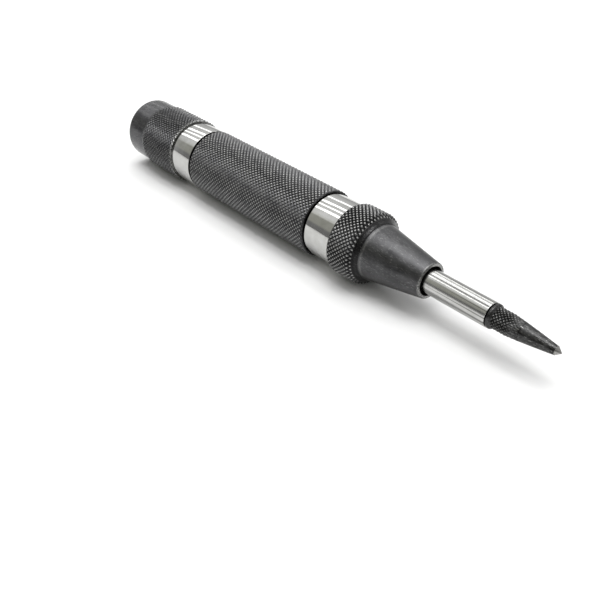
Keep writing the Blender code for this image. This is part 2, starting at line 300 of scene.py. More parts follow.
def stretch(front: float, rear: float, radius: float, step: float, zone: Zone) -> list[Ring]:
    """Lay evenly spaced rings along a straight stretch, from its front to its rear.

    Args:
        front: The place of the first ring.
        rear: The place of the last ring.
        radius: The radius before the stretch is worked.
        step: The distance between rings, which the stretch holds a whole number of times.
        zone: How the stretch is worked.

    Returns:
        The rings.
    """
    count = max(1, round((front - rear) / step))
    return [Ring(front + (rear - front) * i / count, radius, zone) for i in range(count + 1)]


@dataclass(frozen=True)
class Lathe:
    """Turns profiles about the tool's axis.

    Args:
        axis_height: The height of the axis over the floor.
        segments: The number of faces round the axis.
    """

    axis_height: float
    segments: int = SMOOTH_SEGMENTS

    def turn(self, name: str, rings: Sequence[Ring], closed: bool = False) -> bpy.types.Object:
        """Turn a profile into a closed piece.

        Args:
            name: The piece's name.
            rings: The profile, from front to rear on its outer side.
            closed: True for a ring-shaped piece; otherwise the profile ends on the axis.

        Returns:
            The new object, at the origin with its place in its mesh.
        """
        work = bmesh.new()
        layers = {zone: work.verts.layers.float.new(zone.value) for zone in list(Zone)[1:]}
        rows = [self._row(work, ring, layers) for ring in rings]
        pairs = list(zip(rows, rows[1:]))
        if closed:
            pairs.append((rows[-1], rows[0]))
        for upper, lower in pairs:
            self._skin(work, upper, lower)
        bmesh.ops.recalc_face_normals(work, faces=work.faces)
        mesh = bpy.data.meshes.new(name)
        work.to_mesh(mesh)
        work.free()
        mesh.shade_smooth()
        mesh.set_sharp_from_angle(angle=SHARP_ANGLE)
        return link_object(name, mesh)

    def _row(self, work: bmesh.types.BMesh, ring: Ring, layers: dict[Zone, Any]) -> list[Any]:
        """Make one ring's points, or a single point where the ring is on the axis."""
        if ring.radius <= 1e-9:
            return [work.verts.new((ring.x, 0.0, self.axis_height))]
        row = []
        for index in range(self.segments):
            angle = 2 * math.pi * index / self.segments
            y = ring.radius * math.cos(angle)
            z = self.axis_height + ring.radius * math.sin(angle)
            point = work.verts.new((ring.x, y, z))
            if ring.zone in layers:
                point[layers[ring.zone]] = 1.0
            row.append(point)
        return row

    def _skin(self, work: bmesh.types.BMesh, upper: list[Any], lower: list[Any]) -> None:
        """Join two neighbouring rings with faces."""
        for index in range(self.segments):
            after = (index + 1) % self.segments
            if len(upper) == 1:
                work.faces.new((upper[0], lower[index], lower[after]))
            elif len(lower) == 1:
                work.faces.new((upper[index], lower[0], upper[after]))
            else:
                work.faces.new((upper[index], lower[index], lower[after], upper[after]))


# ---------------------------------------------------------------------------------------------
# Worked surfaces, as Geometry Nodes


class SurfaceTree:
    """A Geometry Nodes tree that moves the rings of one zone in or out, then sets the finish."""

    def __init__(self, name: str, zone: Zone, sizes: dict[str, float]) -> None:
        """Start the tree with its named inputs.

        Args:
            name: The tree's name.
            zone: The zone of rings that the tree works on.
            sizes: The named inputs and their usual values.
        """
        self.tree = bpy.data.node_groups.new(name, "GeometryNodeTree")
        face = self.tree.interface
        face.new_socket("Geometry", in_out="INPUT", socket_type="NodeSocketGeometry")
        for label, usual in sizes.items():
            socket = face.new_socket(label, in_out="INPUT", socket_type="NodeSocketFloat")
            socket.default_value = usual
        face.new_socket("Finish", in_out="INPUT", socket_type="NodeSocketMaterial")
        face.new_socket("Geometry", in_out="OUTPUT", socket_type="NodeSocketGeometry")
        self.source = self.add(Kind.TREE_INPUT)
        self.zone = self.add(Kind.NAMED_ATTRIBUTE, {"Name": zone.value}, data_type="FLOAT")
        self.x, self.y, height = self.add(Kind.SEPARATE, [self.add(Kind.POSITION)]).outputs
        self.z = self.add(Kind.MATH, (height, self.size("Axis Height")), operation="SUBTRACT")
        depth = self.add(Kind.MATH, (self.y, 2.0), operation="POWER")
        squares = self.add(Kind.MATH, (self.z, self.z, depth), operation="MULTIPLY_ADD")
        self.radius = self.add(Kind.MATH, [squares], operation="SQRT")
        self.angle = self.add(Kind.MATH, (self.z, self.y), operation="ARCTAN2")

    def add(self, kind: Kind, inputs: Any = (), **settings: Any) -> bpy.types.Node:
        """Add a node to this tree."""
        return add_node(self.tree, kind, inputs, **settings)

    def size(self, label: str) -> bpy.types.NodeSocket:
        """Return the tree's named input."""
        return self.source.outputs[label]

    def close(self, new_radius: bpy.types.Node, crest: bpy.types.Node) -> None:
        """Finish the tree: move the zone to its new radius and set the finish.

        Args:
            new_radius: The worked radius of each point.
            crest: How near each point is to the crest of the pattern, from 0 to 1.
        """
        add, size = self.add, self.size
        share = add(Kind.MATH, (new_radius, self.radius), operation="DIVIDE")
        y = add(Kind.MATH, (self.y, share), operation="MULTIPLY")
        z = add(Kind.MATH, (self.z, share, size("Axis Height")), operation="MULTIPLY_ADD")
        place = add(Kind.COMBINE, (self.x, y, z))
        worked = add(Kind.MATH, (self.zone, 0.5), operation="GREATER_THAN")
        inside = add(Kind.MATH, (self.zone, 0.99), operation="GREATER_THAN")
        shown = add(Kind.MATH, (crest, worked), operation="MULTIPLY")
        crests = {"Geometry": size("Geometry"), "Name": CREST_ATTRIBUTE, "Value": shown}
        stored = add(Kind.STORE_ATTRIBUTE, crests, data_type="FLOAT", domain="POINT")
        moved = add(Kind.SET_POSITION, (stored, worked, place))
        faceted = add(Kind.FACETS, (moved, inside), quad_method="SHORTEST_DIAGONAL")
        flat = add(Kind.SHADE_SMOOTH, (faceted, inside, False), domain="FACE")
        real = add(Kind.REALIZE, [flat])
        dressed = add(Kind.SET_MATERIAL, {"Geometry": real, "Material": size("Finish")})
        add(Kind.TREE_OUTPUT, [dressed])


def knurl_tree() -> bpy.types.NodeTree:
    """Build the tree that cuts a diamond knurl into a turned grip.

    Two families of grooves cross at the same angle. The depth at a point is how far it is from
    the nearest crest. The chamfers at both ends cut the crests off, which scallops the edges,
    and the grooves can run out towards the front.

    Returns:
        The finished tree.
    """
    sizes = {
        "Axis Height": 0.0094,
        "Front": 0.0489,
        "Rear": 0.0,
        "Depth": 0.0003,
        "Pitch": 0.00126,
        "Count": 48.0,
        "Crown": 1.5,
        "Front Radius": 0.0087,
        "Rear Radius": 0.0087,
        "Front Slope": 1.0,
        "Rear Slope": 1.0,
        "Front Share": 1.0,
        "Front Fade": 0.001,
    }
    work = SurfaceTree("diamond_knurl", Zone.KNURLED, sizes)
    add, size = work.add, work.size
    from_rear = add(Kind.MATH, (work.x, size("Rear")), operation="SUBTRACT")
    from_front = add(Kind.MATH, (size("Front"), work.x), operation="SUBTRACT")
    along = add(Kind.MATH, (from_rear, size("Pitch")), operation="DIVIDE")
    turns = add(Kind.MATH, (work.angle, 2 * math.pi), operation="DIVIDE")
    around = add(Kind.MATH, (turns, size("Count")), operation="MULTIPLY")
    right_lead = add(Kind.MATH, (along, around), operation="ADD")
    left_lead = add(Kind.MATH, (along, around), operation="SUBTRACT")
    right_hand = add(Kind.MATH, (right_lead, 0.5), operation="PINGPONG")
    left_hand = add(Kind.MATH, (left_lead, 0.5), operation="PINGPONG")
    deeper = add(Kind.MATH, (right_hand, left_hand), operation="MAXIMUM")
    groove = add(Kind.MATH, (deeper, 2.0), operation="MULTIPLY")
    faded = add(Kind.MATH, (from_front, size("Front Fade")), operation="DIVIDE")
    grown = add(Kind.MATH, (faded, size("Front Share")), operation="ADD")
    share = add(Kind.MATH, (grown, 1.0), operation="MINIMUM")
    deepest = add(Kind.MATH, (size("Depth"), share), operation="MULTIPLY")
    shape = add(Kind.MATH, (groove, size("Crown")), operation="POWER")
    drop = add(Kind.MATH, (shape, deepest), operation="MULTIPLY")
    knurled = add(Kind.MATH, (work.radius, drop), operation="SUBTRACT")
    rear_line = (from_rear, size("Rear Slope"), size("Rear Radius"))
    front_line = (from_front, size("Front Slope"), size("Front Radius"))
    rear_cone = add(Kind.MATH, rear_line, operation="MULTIPLY_ADD")
    front_cone = add(Kind.MATH, front_line, operation="MULTIPLY_ADD")
    chamfers = add(Kind.MATH, (rear_cone, front_cone), operation="MINIMUM")
    radius = add(Kind.MATH, (knurled, chamfers), operation="MINIMUM")
    cut = add(Kind.MATH, (work.radius, radius), operation="SUBTRACT")
    lost = add(Kind.MATH, (cut, size("Depth")), operation="DIVIDE")
    left = add(Kind.MATH, (1.0, lost), operation="SUBTRACT")
    height = add(Kind.MATH, (left, 0.01), operation="MAXIMUM")
    above = add(Kind.MATH, (height, NEUTRAL_HEIGHT), operation="SUBTRACT")
    crest = add(Kind.MATH, (above, share, NEUTRAL_HEIGHT), operation="MULTIPLY_ADD")
    work.close(radius, crest)
    return work.tree


def thread_tree() -> bpy.types.NodeTree:
    """Build the tree that cuts a right-hand thread into a turned spigot.

    Returns:
        The finished tree.
    """
    sizes = {
        "Axis Height": 0.0094,
        "Front": 0.0085,
        "Rear": 0.0,
        "Tip Radius": 0.0069,
        "Depth": 0.0005,
        "Pitch": 0.001,
        "Runout": 0.0004,
    }
    work = SurfaceTree("screw_thread", Zone.THREADED, sizes)
    add, size = work.add, work.size
    along = add(Kind.MATH, (work.x, size("Pitch")), operation="DIVIDE")
    turns = add(Kind.MATH, (work.angle, 2 * math.pi), operation="DIVIDE")
    lead = add(Kind.MATH, (along, turns), operation="SUBTRACT")
    flank = add(Kind.MATH, (lead, 0.5), operation="PINGPONG")
    groove = add(Kind.MATH, (flank, 2.0), operation="MULTIPLY")
    drop = add(Kind.MATH, (groove, size("Depth")), operation="MULTIPLY")
    threaded = add(Kind.MATH, (size("Tip Radius"), drop), operation="SUBTRACT")
    from_front = add(Kind.MATH, (size("Front"), work.x), operation="SUBTRACT")
    start = add(Kind.MATH, (size("Tip Radius"), size("Runout")), operation="SUBTRACT")
    lead_in = add(Kind.MATH, (from_front, start), operation="ADD")
    radius = add(Kind.MATH, (threaded, lead_in), operation="MINIMUM")
    crest = add(Kind.MATH, (1.0, groove), operation="SUBTRACT")
    work.close(radius, crest)
    return work.tree


def run_tree(
    piece: bpy.types.Object,
    tree: bpy.types.NodeTree,
    sizes: dict[str, float],
    finish: bpy.types.Material,
) -> None:
    """Run a surface tree on a piece and keep the result as a plain mesh.

    Args:
        piece: The turned piece.
        tree: The surface tree.
        sizes: The values of the tree's named inputs.
        finish: The material that the tree sets.
    """
    modifier = piece.modifiers.new(tree.name, "NODES")
    modifier.node_group = tree
    sockets = {
        item.name: item.identifier
        for item in tree.interface.items_tree
        if item.item_type == "SOCKET" and item.in_out == "INPUT"
    }
    for label, value in sizes.items():
        modifier[sockets[label]] = value
    modifier[sockets["Finish"]] = finish
    bake_modifiers(piece)


@dataclass(frozen=True)
class Knurl:
    """A diamond knurl on a round grip.

    Args:
        count: The number of diamonds round the grip.
        pitch_mm: The distance between diamonds along the grip.
        depth_mm: The depth of the grooves.
        crown: How blunt the diamonds are; 1 is a plain pyramid.
        steps: The number of rings in one pitch.
    """

    count: int = 48
    pitch_mm: float = 1.262
    depth_mm: float = 0.20
    crown: float = 1.9
    steps: int = 6

    @property
    def segments(self) -> int:
        """Faces round the grip, as many for each diamond as there are rings in a pitch."""
        return self.count * self.steps

    def fitted_pitch(self, length: float) -> float:
        """The pitch nearest the usual one that puts a whole number of rings in a length."""
        rings = max(self.steps, round(length / (self.pitch_mm * MM) * self.steps))
        return length * self.steps / rings

    def rings(
        self, front: float, rear: float, radius: float | Callable[[float], float]
    ) -> list[Ring]:
        """Lay the rings of a grip before it is knurled.

        Args:
            front: The front end of the grip.
            rear: Its rear end.
            radius: The radius over the diamonds, or a function that gives it at each place.

        Returns:
            The rings, from front to rear.
        """
        step = self.fitted_pitch(front - rear) / self.steps
        if not callable(radius):
            return stretch(front, rear, radius, step, Zone.KNURLED)
        level = stretch(front, rear, 1.0, step, Zone.KNURLED)
        return [Ring(ring.x, radius(ring.x), ring.zone) for ring in level]

    def cut(
        self,
        piece: bpy.types.Object,
        finish: bpy.types.Material,
        axis_height: float,
        ends: tuple[float, float],
        end_radii: tuple[float, float] = (NO_CHAMFER, NO_CHAMFER),
        slopes: tuple[float, float] = (1.0, 1.0),
        fade_mm: float = 0.0,
    ) -> None:
        """Cut the knurl into a turned grip.

        Args:
            piece: The turned piece, with the knurl's own rings.
            finish: The material of the whole piece.
            axis_height: The height of the tool's axis.
            ends: The front and the rear end of the grip.
            end_radii: The radius to which the chamfers cut the front and the rear edge.
            slopes: How steeply each end's chamfer rises.
            fade_mm: The length over which the grooves run out at the front, or zero.
        """
        sizes = {
            "Axis Height": axis_height,
            "Front": ends[0],
            "Rear": ends[1],
            "Depth": self.depth_mm * MM,
            "Pitch": self.fitted_pitch(ends[0] - ends[1]),
            "Count": float(self.count),
            "Crown": self.crown,
            "Front Radius": end_radii[0],
            "Rear Radius": end_radii[1],
            "Front Slope": slopes[0],
            "Rear Slope": slopes[1],
            "Front Share": 0.0 if fade_mm else 1.0,
            "Front Fade": max(fade_mm, 1.0) * MM,
        }
        run_tree(piece, knurl_tree(), sizes, finish)


# ---------------------------------------------------------------------------------------------
# Finishes


@dataclass(frozen=True)
class Wear:
    """A stretch where handling has rubbed a finish brighter.

    Args:
        x: The middle of the stretch along the tool.
        reach: The distance over which the wear fades out.
        strength: How much bare metal shows at the middle, from 0 to 1.
    """

    x: float
    reach: float
    strength: float


@dataclass(frozen=True)
class PaintedShade:
    """A stretch of painted shade, where the oxide's colour is darkened in a corner.

    Args:
        x: The middle of the stretch along the tool.
        reach: The distance from the middle to the stretch's ends.
        tone: How bright the oxide is there beside the rest.
    """

    x: float
    reach: float
    tone: float


class Shading:
    """A material's node tree while it is being written."""

    def __init__(self, name: str) -> None:
        """Start a material with a Principled shader."""
        self.material = bpy.data.materials.new(name)
        self.material.use_nodes = True
        self.tree = self.material.node_tree
        self.shader = self.tree.nodes["Principled BSDF"]
        self.place = self.add(Kind.COORDINATES).outputs["Object"]

    def add(self, kind: Kind, inputs: Any = (), **settings: Any) -> bpy.types.Node:
        """Add a node to the material."""
        return add_node(self.tree, kind, inputs, **settings)

    def set(self, name: str, value: Any) -> None:
        """Set one of the shader's inputs, or link a node to it."""
        if isinstance(value, bpy.types.Node):
            source = next(output for output in value.outputs if output.enabled)
            self.tree.links.new(source, self.shader.inputs[name])
        else:
            self.shader.inputs[name].default_value = value

    def grain_of(
        self, size_mm: float, detail: float = 3.0, stretch_by: tuple[float, float, float] = (1, 1, 1)
    ) -> bpy.types.Node:
        """Lay a random grain whose features have a real size.

        Args:
            size_mm: The size of its features.
            detail: How many finer layers it has.
            stretch_by: How many times longer the features are along each axis.

        Returns:
            The node that gives the grain, from 0 to 1.
        """
        scale = [1.0 / (size_mm * MM * longer) for longer in stretch_by]
        mapped = self.add(Kind.MAPPING, {"Vector": self.place, "Scale": scale})
        layers = {"Vector": mapped, "Scale": 1.0, "Detail": detail, "Roughness": 0.55}
        return self.add(Kind.NOISE, layers, noise_dimensions="3D")

    def near(
        self, x: float, inner: float, outer: float, there: float, away: float
    ) -> bpy.types.Node:
        """Give one value near a place along the tool and another away from it."""
        along = self.add(Kind.SEPARATE, [self.place])
        offset = self.add(Kind.MATH, (along, x), operation="SUBTRACT")
        distance = self.add(Kind.MATH, [offset], operation="ABSOLUTE")
        return self.add(Kind.MAP_RANGE, (distance, inner, outer, there, away))

    def two_tone(
        self, pattern: bpy.types.Node, limits: tuple[float, float], colour: str, shade: str
    ) -> bpy.types.Node:
        """Pass from a colour to its shade as a pattern rises between two limits."""
        tone = self.add(Kind.MAP_RANGE, (pattern, *limits, 0.0, 1.0))
        colours = (tone, linear_colour(colour), linear_colour(shade))
        return self.add(Kind.MIX, colours, data_type="RGBA")

    def metal(
        self,
        colour: bpy.types.Node,
        gloss: bpy.types.Node,
        roughness: tuple[float, float],
        height: bpy.types.Node,
        relief: tuple[float, float],
    ) -> bpy.types.Material:
        """Finish the material as a metal.

        Args:
            colour: The node that gives its colour.
            gloss: The pattern that its roughness follows.
            roughness: The least and greatest roughness.
            height: The pattern that its relief follows.
            relief: The relief's strength, and its depth in mm.

        Returns:
            The finished material.
        """
        strength, depth_mm = relief
        bump = {"Strength": strength, "Distance": depth_mm * MM, "Height": height}
        self.set("Base Color", colour)
        self.set("Metallic", 1.0)
        self.set("Roughness", self.add(Kind.MAP_RANGE, (gloss, 0.3, 0.7, *roughness)))
        self.set("Normal", self.add(Kind.BUMP, bump))
        return self.material


@dataclass(frozen=True)
class BlackOxide:
    """Hot black oxide on turned steel.

    The oxide is a thin dark skin, so the steel's own sheen shows through it: a dark metal with a
    satin gloss, mottled where the bath took unevenly, drawn with fine lines along the tool, with
    painted shade in the grooves of a knurl, and its crests lightened to grey partly by real rubbed
    wear and partly as a painted highlight.

    Args:
        name: The material's name.
        dark: The colour of the full oxide.
        light: The colour where the oxide is thin.
        worn: The colour of rubbed steel.
        roughness: The least and greatest roughness.
        mottle_mm: The size of the mottling.
        scratch_share: How much steel shows in the fine lines.
        crest_wear_and_highlight: How much rubbed steel colour is put on a knurl's crests, partly real
            wear and partly a painted highlight.
        painted_groove_shade: How bright the painted shade leaves the grooves of a knurl beside its
            crests.
        wear: Stretches that are rubbed brighter.
        dark_patches: Stretches of painted shade, where the oxide's colour is darkened.
    """

    name: str
    dark: str = "#464648"
    light: str = "#575758"
    worn: str = "#c6c6c3"
    roughness: tuple[float, float] = (0.30, 0.44)
    mottle_mm: float = 1.6
    scratch_share: float = 0.2
    crest_wear_and_highlight: float = 0.0
    painted_groove_shade: float = 1.0
    wear: tuple[Wear, ...] = field(default_factory=tuple)
    dark_patches: tuple[PaintedShade, ...] = field(default_factory=tuple)

    def material(self) -> bpy.types.Material:
        """Write the material."""
        shading = Shading(self.name)
        add = shading.add
        mottle = shading.grain_of(self.mottle_mm, 4.0, (2.5, 1, 1))
        grain = shading.grain_of(0.3, 2.0)
        scratches = shading.grain_of(0.16, 2.0, (9, 1, 1))
        colour = shading.two_tone(mottle, (0.36, 0.66), self.dark, self.light)
        bare = add(Kind.MAP_RANGE, (scratches, 0.58, 0.74, 0.0, self.scratch_share))
        for rubbed in self.wear:
            near = shading.near(rubbed.x, 0.0, rubbed.reach, rubbed.strength, 0.0)
            patches = add(Kind.MAP_RANGE, (grain, 0.35, 0.62, 0.1, 1.0))
            patchy = add(Kind.MATH, (near, patches), operation="MULTIPLY")
            bare = add(Kind.MATH, (bare, patchy), operation="MAXIMUM")
        # Painted shade: the oxide's colour is darkened over each such stretch.
        for shade_stretch in self.dark_patches:
            tone = shading.near(shade_stretch.x, 0.8 * shade_stretch.reach, shade_stretch.reach, shade_stretch.tone, 1.0)
            colour = add(Kind.MIX, (1.0, colour, tone), data_type="RGBA", blend_type="MULTIPLY")
        # Painted shade darkens the knurl's grooves in colour; the crests are lightened partly as real
        # rubbed wear and partly as a painted highlight.
        if self.crest_wear_and_highlight:
            height = add(Kind.ATTRIBUTE, attribute_name=CREST_ATTRIBUTE).outputs["Fac"]
            knurled = add(Kind.MATH, (height, 0.0), operation="GREATER_THAN")
            groove = add(Kind.MAP_RANGE, (height, 0.1, NEUTRAL_HEIGHT, self.painted_groove_shade, 1.0))
            depth = add(Kind.MIX, (knurled, (1, 1, 1, 1), groove), data_type="RGBA")
            colour = add(Kind.MIX, (1.0, colour, depth), data_type="RGBA", blend_type="MULTIPLY")
            crests = (height, NEUTRAL_HEIGHT + 0.1, 0.95, 0.0, self.crest_wear_and_highlight)
            tips = add(Kind.MAP_RANGE, crests)
            patches = add(Kind.MAP_RANGE, (mottle, 0.3, 0.55, 0.5, 1.0))
            patchy = add(Kind.MATH, (tips, patches), operation="MULTIPLY")
            bare = add(Kind.MATH, (bare, patchy), operation="MAXIMUM")
        steel = (bare, colour, linear_colour(self.worn))
        uneven = add(Kind.MATH, (grain, scratches), operation="ADD")
        rubbed_through = add(Kind.MIX, steel, data_type="RGBA")
        return shading.metal(rubbed_through, mottle, self.roughness, uneven, (0.5, 0.006))


@dataclass(frozen=True)
class BrightPlate:
    """Bright chrome plate over a surface that was belt-polished along the tool.

    A near mirror, neutral in colour. The polish left hair-fine lines along the tool, which break
    each reflection into narrow streaks.

    Args:
        name: The material's name.
        colour: The plate's colour.
        shade: The colour of its faint stains.
        roughness: The least and greatest roughness.
        line_mm: The spacing of the polishing lines, drawn coarser than the real 0.05 mm.
        line_painted_shade: How dark the deepest lines are painted beside the plate, as painted shade.
        line_depth_mm: The depth of the lines.
    """

    name: str
    colour: str = "#bfbfbd"
    shade: str = "#b3b3b0"
    roughness: tuple[float, float] = (0.05, 0.11)
    line_mm: float = 0.32
    line_painted_shade: float = 1.0
    line_depth_mm: float = 0.004

    def material(self) -> bpy.types.Material:
        """Write the material."""
        shading = Shading(self.name)
        add = shading.add
        lines = shading.grain_of(self.line_mm, 1.0, (150, 1, 1))
        dark_patches = shading.grain_of(2.2, 3.0)
        plate = shading.two_tone(dark_patches, (0.35, 0.7), self.colour, self.shade)
        # Painted shade: the polishing lines are darkened in the plate's colour.
        groove = add(Kind.MAP_RANGE, (lines, 0.40, 0.48, self.line_painted_shade, 1.0))
        lined = add(Kind.MIX, (1.0, plate, groove), data_type="RGBA", blend_type="MULTIPLY")
        return shading.metal(lined, lines, self.roughness, lines, (0.6, self.line_depth_mm))


@dataclass(frozen=True)
class ToolSteel:
    """Turned, hardened and oiled steel, grey and satin, with rings left by the turning tool."""

    name: str
    colour: str = "#a5a4a1"
    shade: str = "#86827c"
    roughness: tuple[float, float] = (0.22, 0.36)

    def material(self) -> bpy.types.Material:
        """Write the material."""
        shading = Shading(self.name)
        rings = shading.grain_of(0.2, 2.0, (1, 400, 400))
        dark_patches = shading.grain_of(1.8, 3.0)
        colour = shading.two_tone(dark_patches, (0.35, 0.7), self.colour, self.shade)
        return shading.metal(colour, rings, self.roughness, rings, (0.5, 0.002))


@dataclass(frozen=True)
class GroundSteel:
    """Bare steel off the grinding wheel, with scratches that run down to the tip."""

    name: str
    colour: str = "#b4b3b0"
    shade: str = "#747371"
    roughness: tuple[float, float] = (0.2, 0.38)

    def material(self) -> bpy.types.Material:
        """Write the material."""
        shading = Shading(self.name)
        scratches = shading.grain_of(0.09, 3.0, (6, 1, 1))
        colour = shading.two_tone(scratches, (0.35, 0.65), self.colour, self.shade)
        return shading.metal(colour, scratches, self.roughness, scratches, (0.6, 0.006))


@dataclass(frozen=True)
class PaperFloor:
    """Matt white background paper, with the faintest fibre."""

    name: str
    colour: str = "#eeeeee"
    shade: str = "#ebebeb"

    def material(self) -> bpy.types.Material:
        """Write the material."""
        shading = Shading(self.name)
        fibre = shading.grain_of(3.0, 4.0)
        colours = (fibre, linear_colour(self.colour), linear_colour(self.shade))
        shading.set("Base Color", shading.add(Kind.MIX, colours, data_type="RGBA"))
        shading.set("Roughness", 0.85)
        shading.set("Specular IOR Level", 0.2)
        return shading.material


# ---------------------------------------------------------------------------------------------
# The tool's pieces


@dataclass(frozen=True)
class Span:
    """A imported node's reach along the tool and its greatest radius."""

    rear: float
    front: float
    radius: float

    @classmethod
    def of(cls, node: str) -> Span:
        """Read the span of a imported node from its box."""
        low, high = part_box(node)
        return cls(low.x, high.x, (high.y - low.y) / 2)


def place_piece(
    piece: bpy.types.Object, body: Body, slot: Slot, stands_for: str | None = None
) -> None:
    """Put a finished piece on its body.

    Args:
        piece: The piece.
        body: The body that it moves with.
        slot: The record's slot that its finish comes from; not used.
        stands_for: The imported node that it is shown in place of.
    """
    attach(piece, body.value)
    if stands_for:
        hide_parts(stands_for)
    faces = len(piece.data.polygons)
    LOG.info("%s: %d faces on %s", piece.name, faces, body.value)


def dress(piece: bpy.types.Object, finish: bpy.types.Material) -> bpy.types.Object:
    """Give a piece its only material."""
    piece.data.materials.clear()
    piece.data.materials.append(finish)
    return piece


@dataclass
class Assembly:
    """Pieces about the tool's axis.

    Args:
        axis_height: The height of the tool's axis.
    """

    axis_height: float

    def turned(
        self,
        name: str,
        corners: Sequence[Corner],
        finish: bpy.types.Material,
        body: Body,
        slot: Slot,
        stands_for: str | None = None,
        closed: bool = False,
        segments: int = SMOOTH_SEGMENTS,
    ) -> None:
        """Turn a smooth piece, dress it and put it on its body.

        Args:
            name: The piece's name.
            corners: Its profile.
            finish: Its material.
            body: The body that it moves with.
            slot: The record's slot that its finish comes from.
            stands_for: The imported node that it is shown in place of.
            closed: Whether its profile is a closed loop clear of the axis.
            segments: The number of faces round the axis.
        """
        lathe = Lathe(self.axis_height, segments)
        piece = lathe.turn(name, rounded(corners, closed), closed)
        place_piece(dress(piece, finish), body, slot, stands_for)

    def land(
        self,
        name: str,
        ends: tuple[float, float],
        radii_mm: tuple[float, float],
        fillets_mm: tuple[float, float],
        body: Body,
        plate: BrightPlate,
    ) -> None:
        """Build a bright land, as a sleeve over the hidden thread.

        Args:
            name: The piece's name.
            ends: The places of its front and rear edge.
            radii_mm: Its outer and inner radius.
            fillets_mm: How far its front and rear edge are rounded.
            body: The body that it moves with.
            plate: Its finish.
        """
        front, rear = ends
        outer, inner = (radius * MM for radius in radii_mm)
        corners = [
            Corner(front, outer, fillets_mm[0] * MM),
            Corner(rear, outer, fillets_mm[1] * MM),
            Corner(rear, inner),
            Corner(front, inner),
        ]
        finish = plate.material()
        self.turned(name, corners, finish, body, Slot.BRIGHT, closed=True, segments=LAND_SEGMENTS)


@dataclass
class Barrel(Assembly):
    """The knurled grip in the middle of the tool.

    Args:
        edge_radius_mm: The radius at the chamfered ends.
        edge_slope: How steeply the chamfers rise.
        bore_radius_mm: The radius of the threaded bores.
        chamber_radius_mm: The radius of the hammer's chamber.
        rear_bore_mm: The depth of the rear bore.
        front_bore_mm: The depth of the front bore.
        knurl: The knurl over its whole length.
    """

    edge_radius_mm: float = 8.66
    edge_slope: float = 0.9
    bore_radius_mm: float = 7.1
    chamber_radius_mm: float = 6.3
    rear_bore_mm: float = 9.9
    front_bore_mm: float = 14.7
    knurl: Knurl = field(default_factory=Knurl)

    def oxide(self) -> BlackOxide:
        """The grip's oxide: dull, its crests grey partly from wear and partly as a painted highlight,
        with painted shade in the grooves.
        """
        return BlackOxide(
            "barrel_black_oxide", roughness=(0.27, 0.40), crest_wear_and_highlight=0.6, painted_groove_shade=0.33
        )

    def build(self) -> None:
        """Build the grip and dress it."""
        span = Span.of("barrel")
        bore = self.bore_radius_mm * MM
        chamber = self.chamber_radius_mm * MM
        edge = self.edge_radius_mm * MM
        shoulder = span.front - self.front_bore_mm * MM
        chamber_rear = span.rear + self.rear_bore_mm * MM
        knurled = self.knurl.rings(span.front, span.rear, span.radius)
        bored = [
            Ring(span.rear, bore),
            Ring(chamber_rear, bore),
            Ring(chamber_rear, chamber),
            Ring(shoulder, chamber),
            Ring(shoulder, bore),
            Ring(span.front, bore),
        ]
        lathe = Lathe(self.axis_height, self.knurl.segments)
        piece = lathe.turn("barrel_grip", knurled + bored, closed=True)
        self.knurl.cut(
            piece,
            self.oxide().material(),
            self.axis_height,
            (span.front, span.rear),
            (edge, edge),
            (self.edge_slope, self.edge_slope),
        )
        place_piece(piece, Body.BARREL, Slot.BARREL, "barrel")


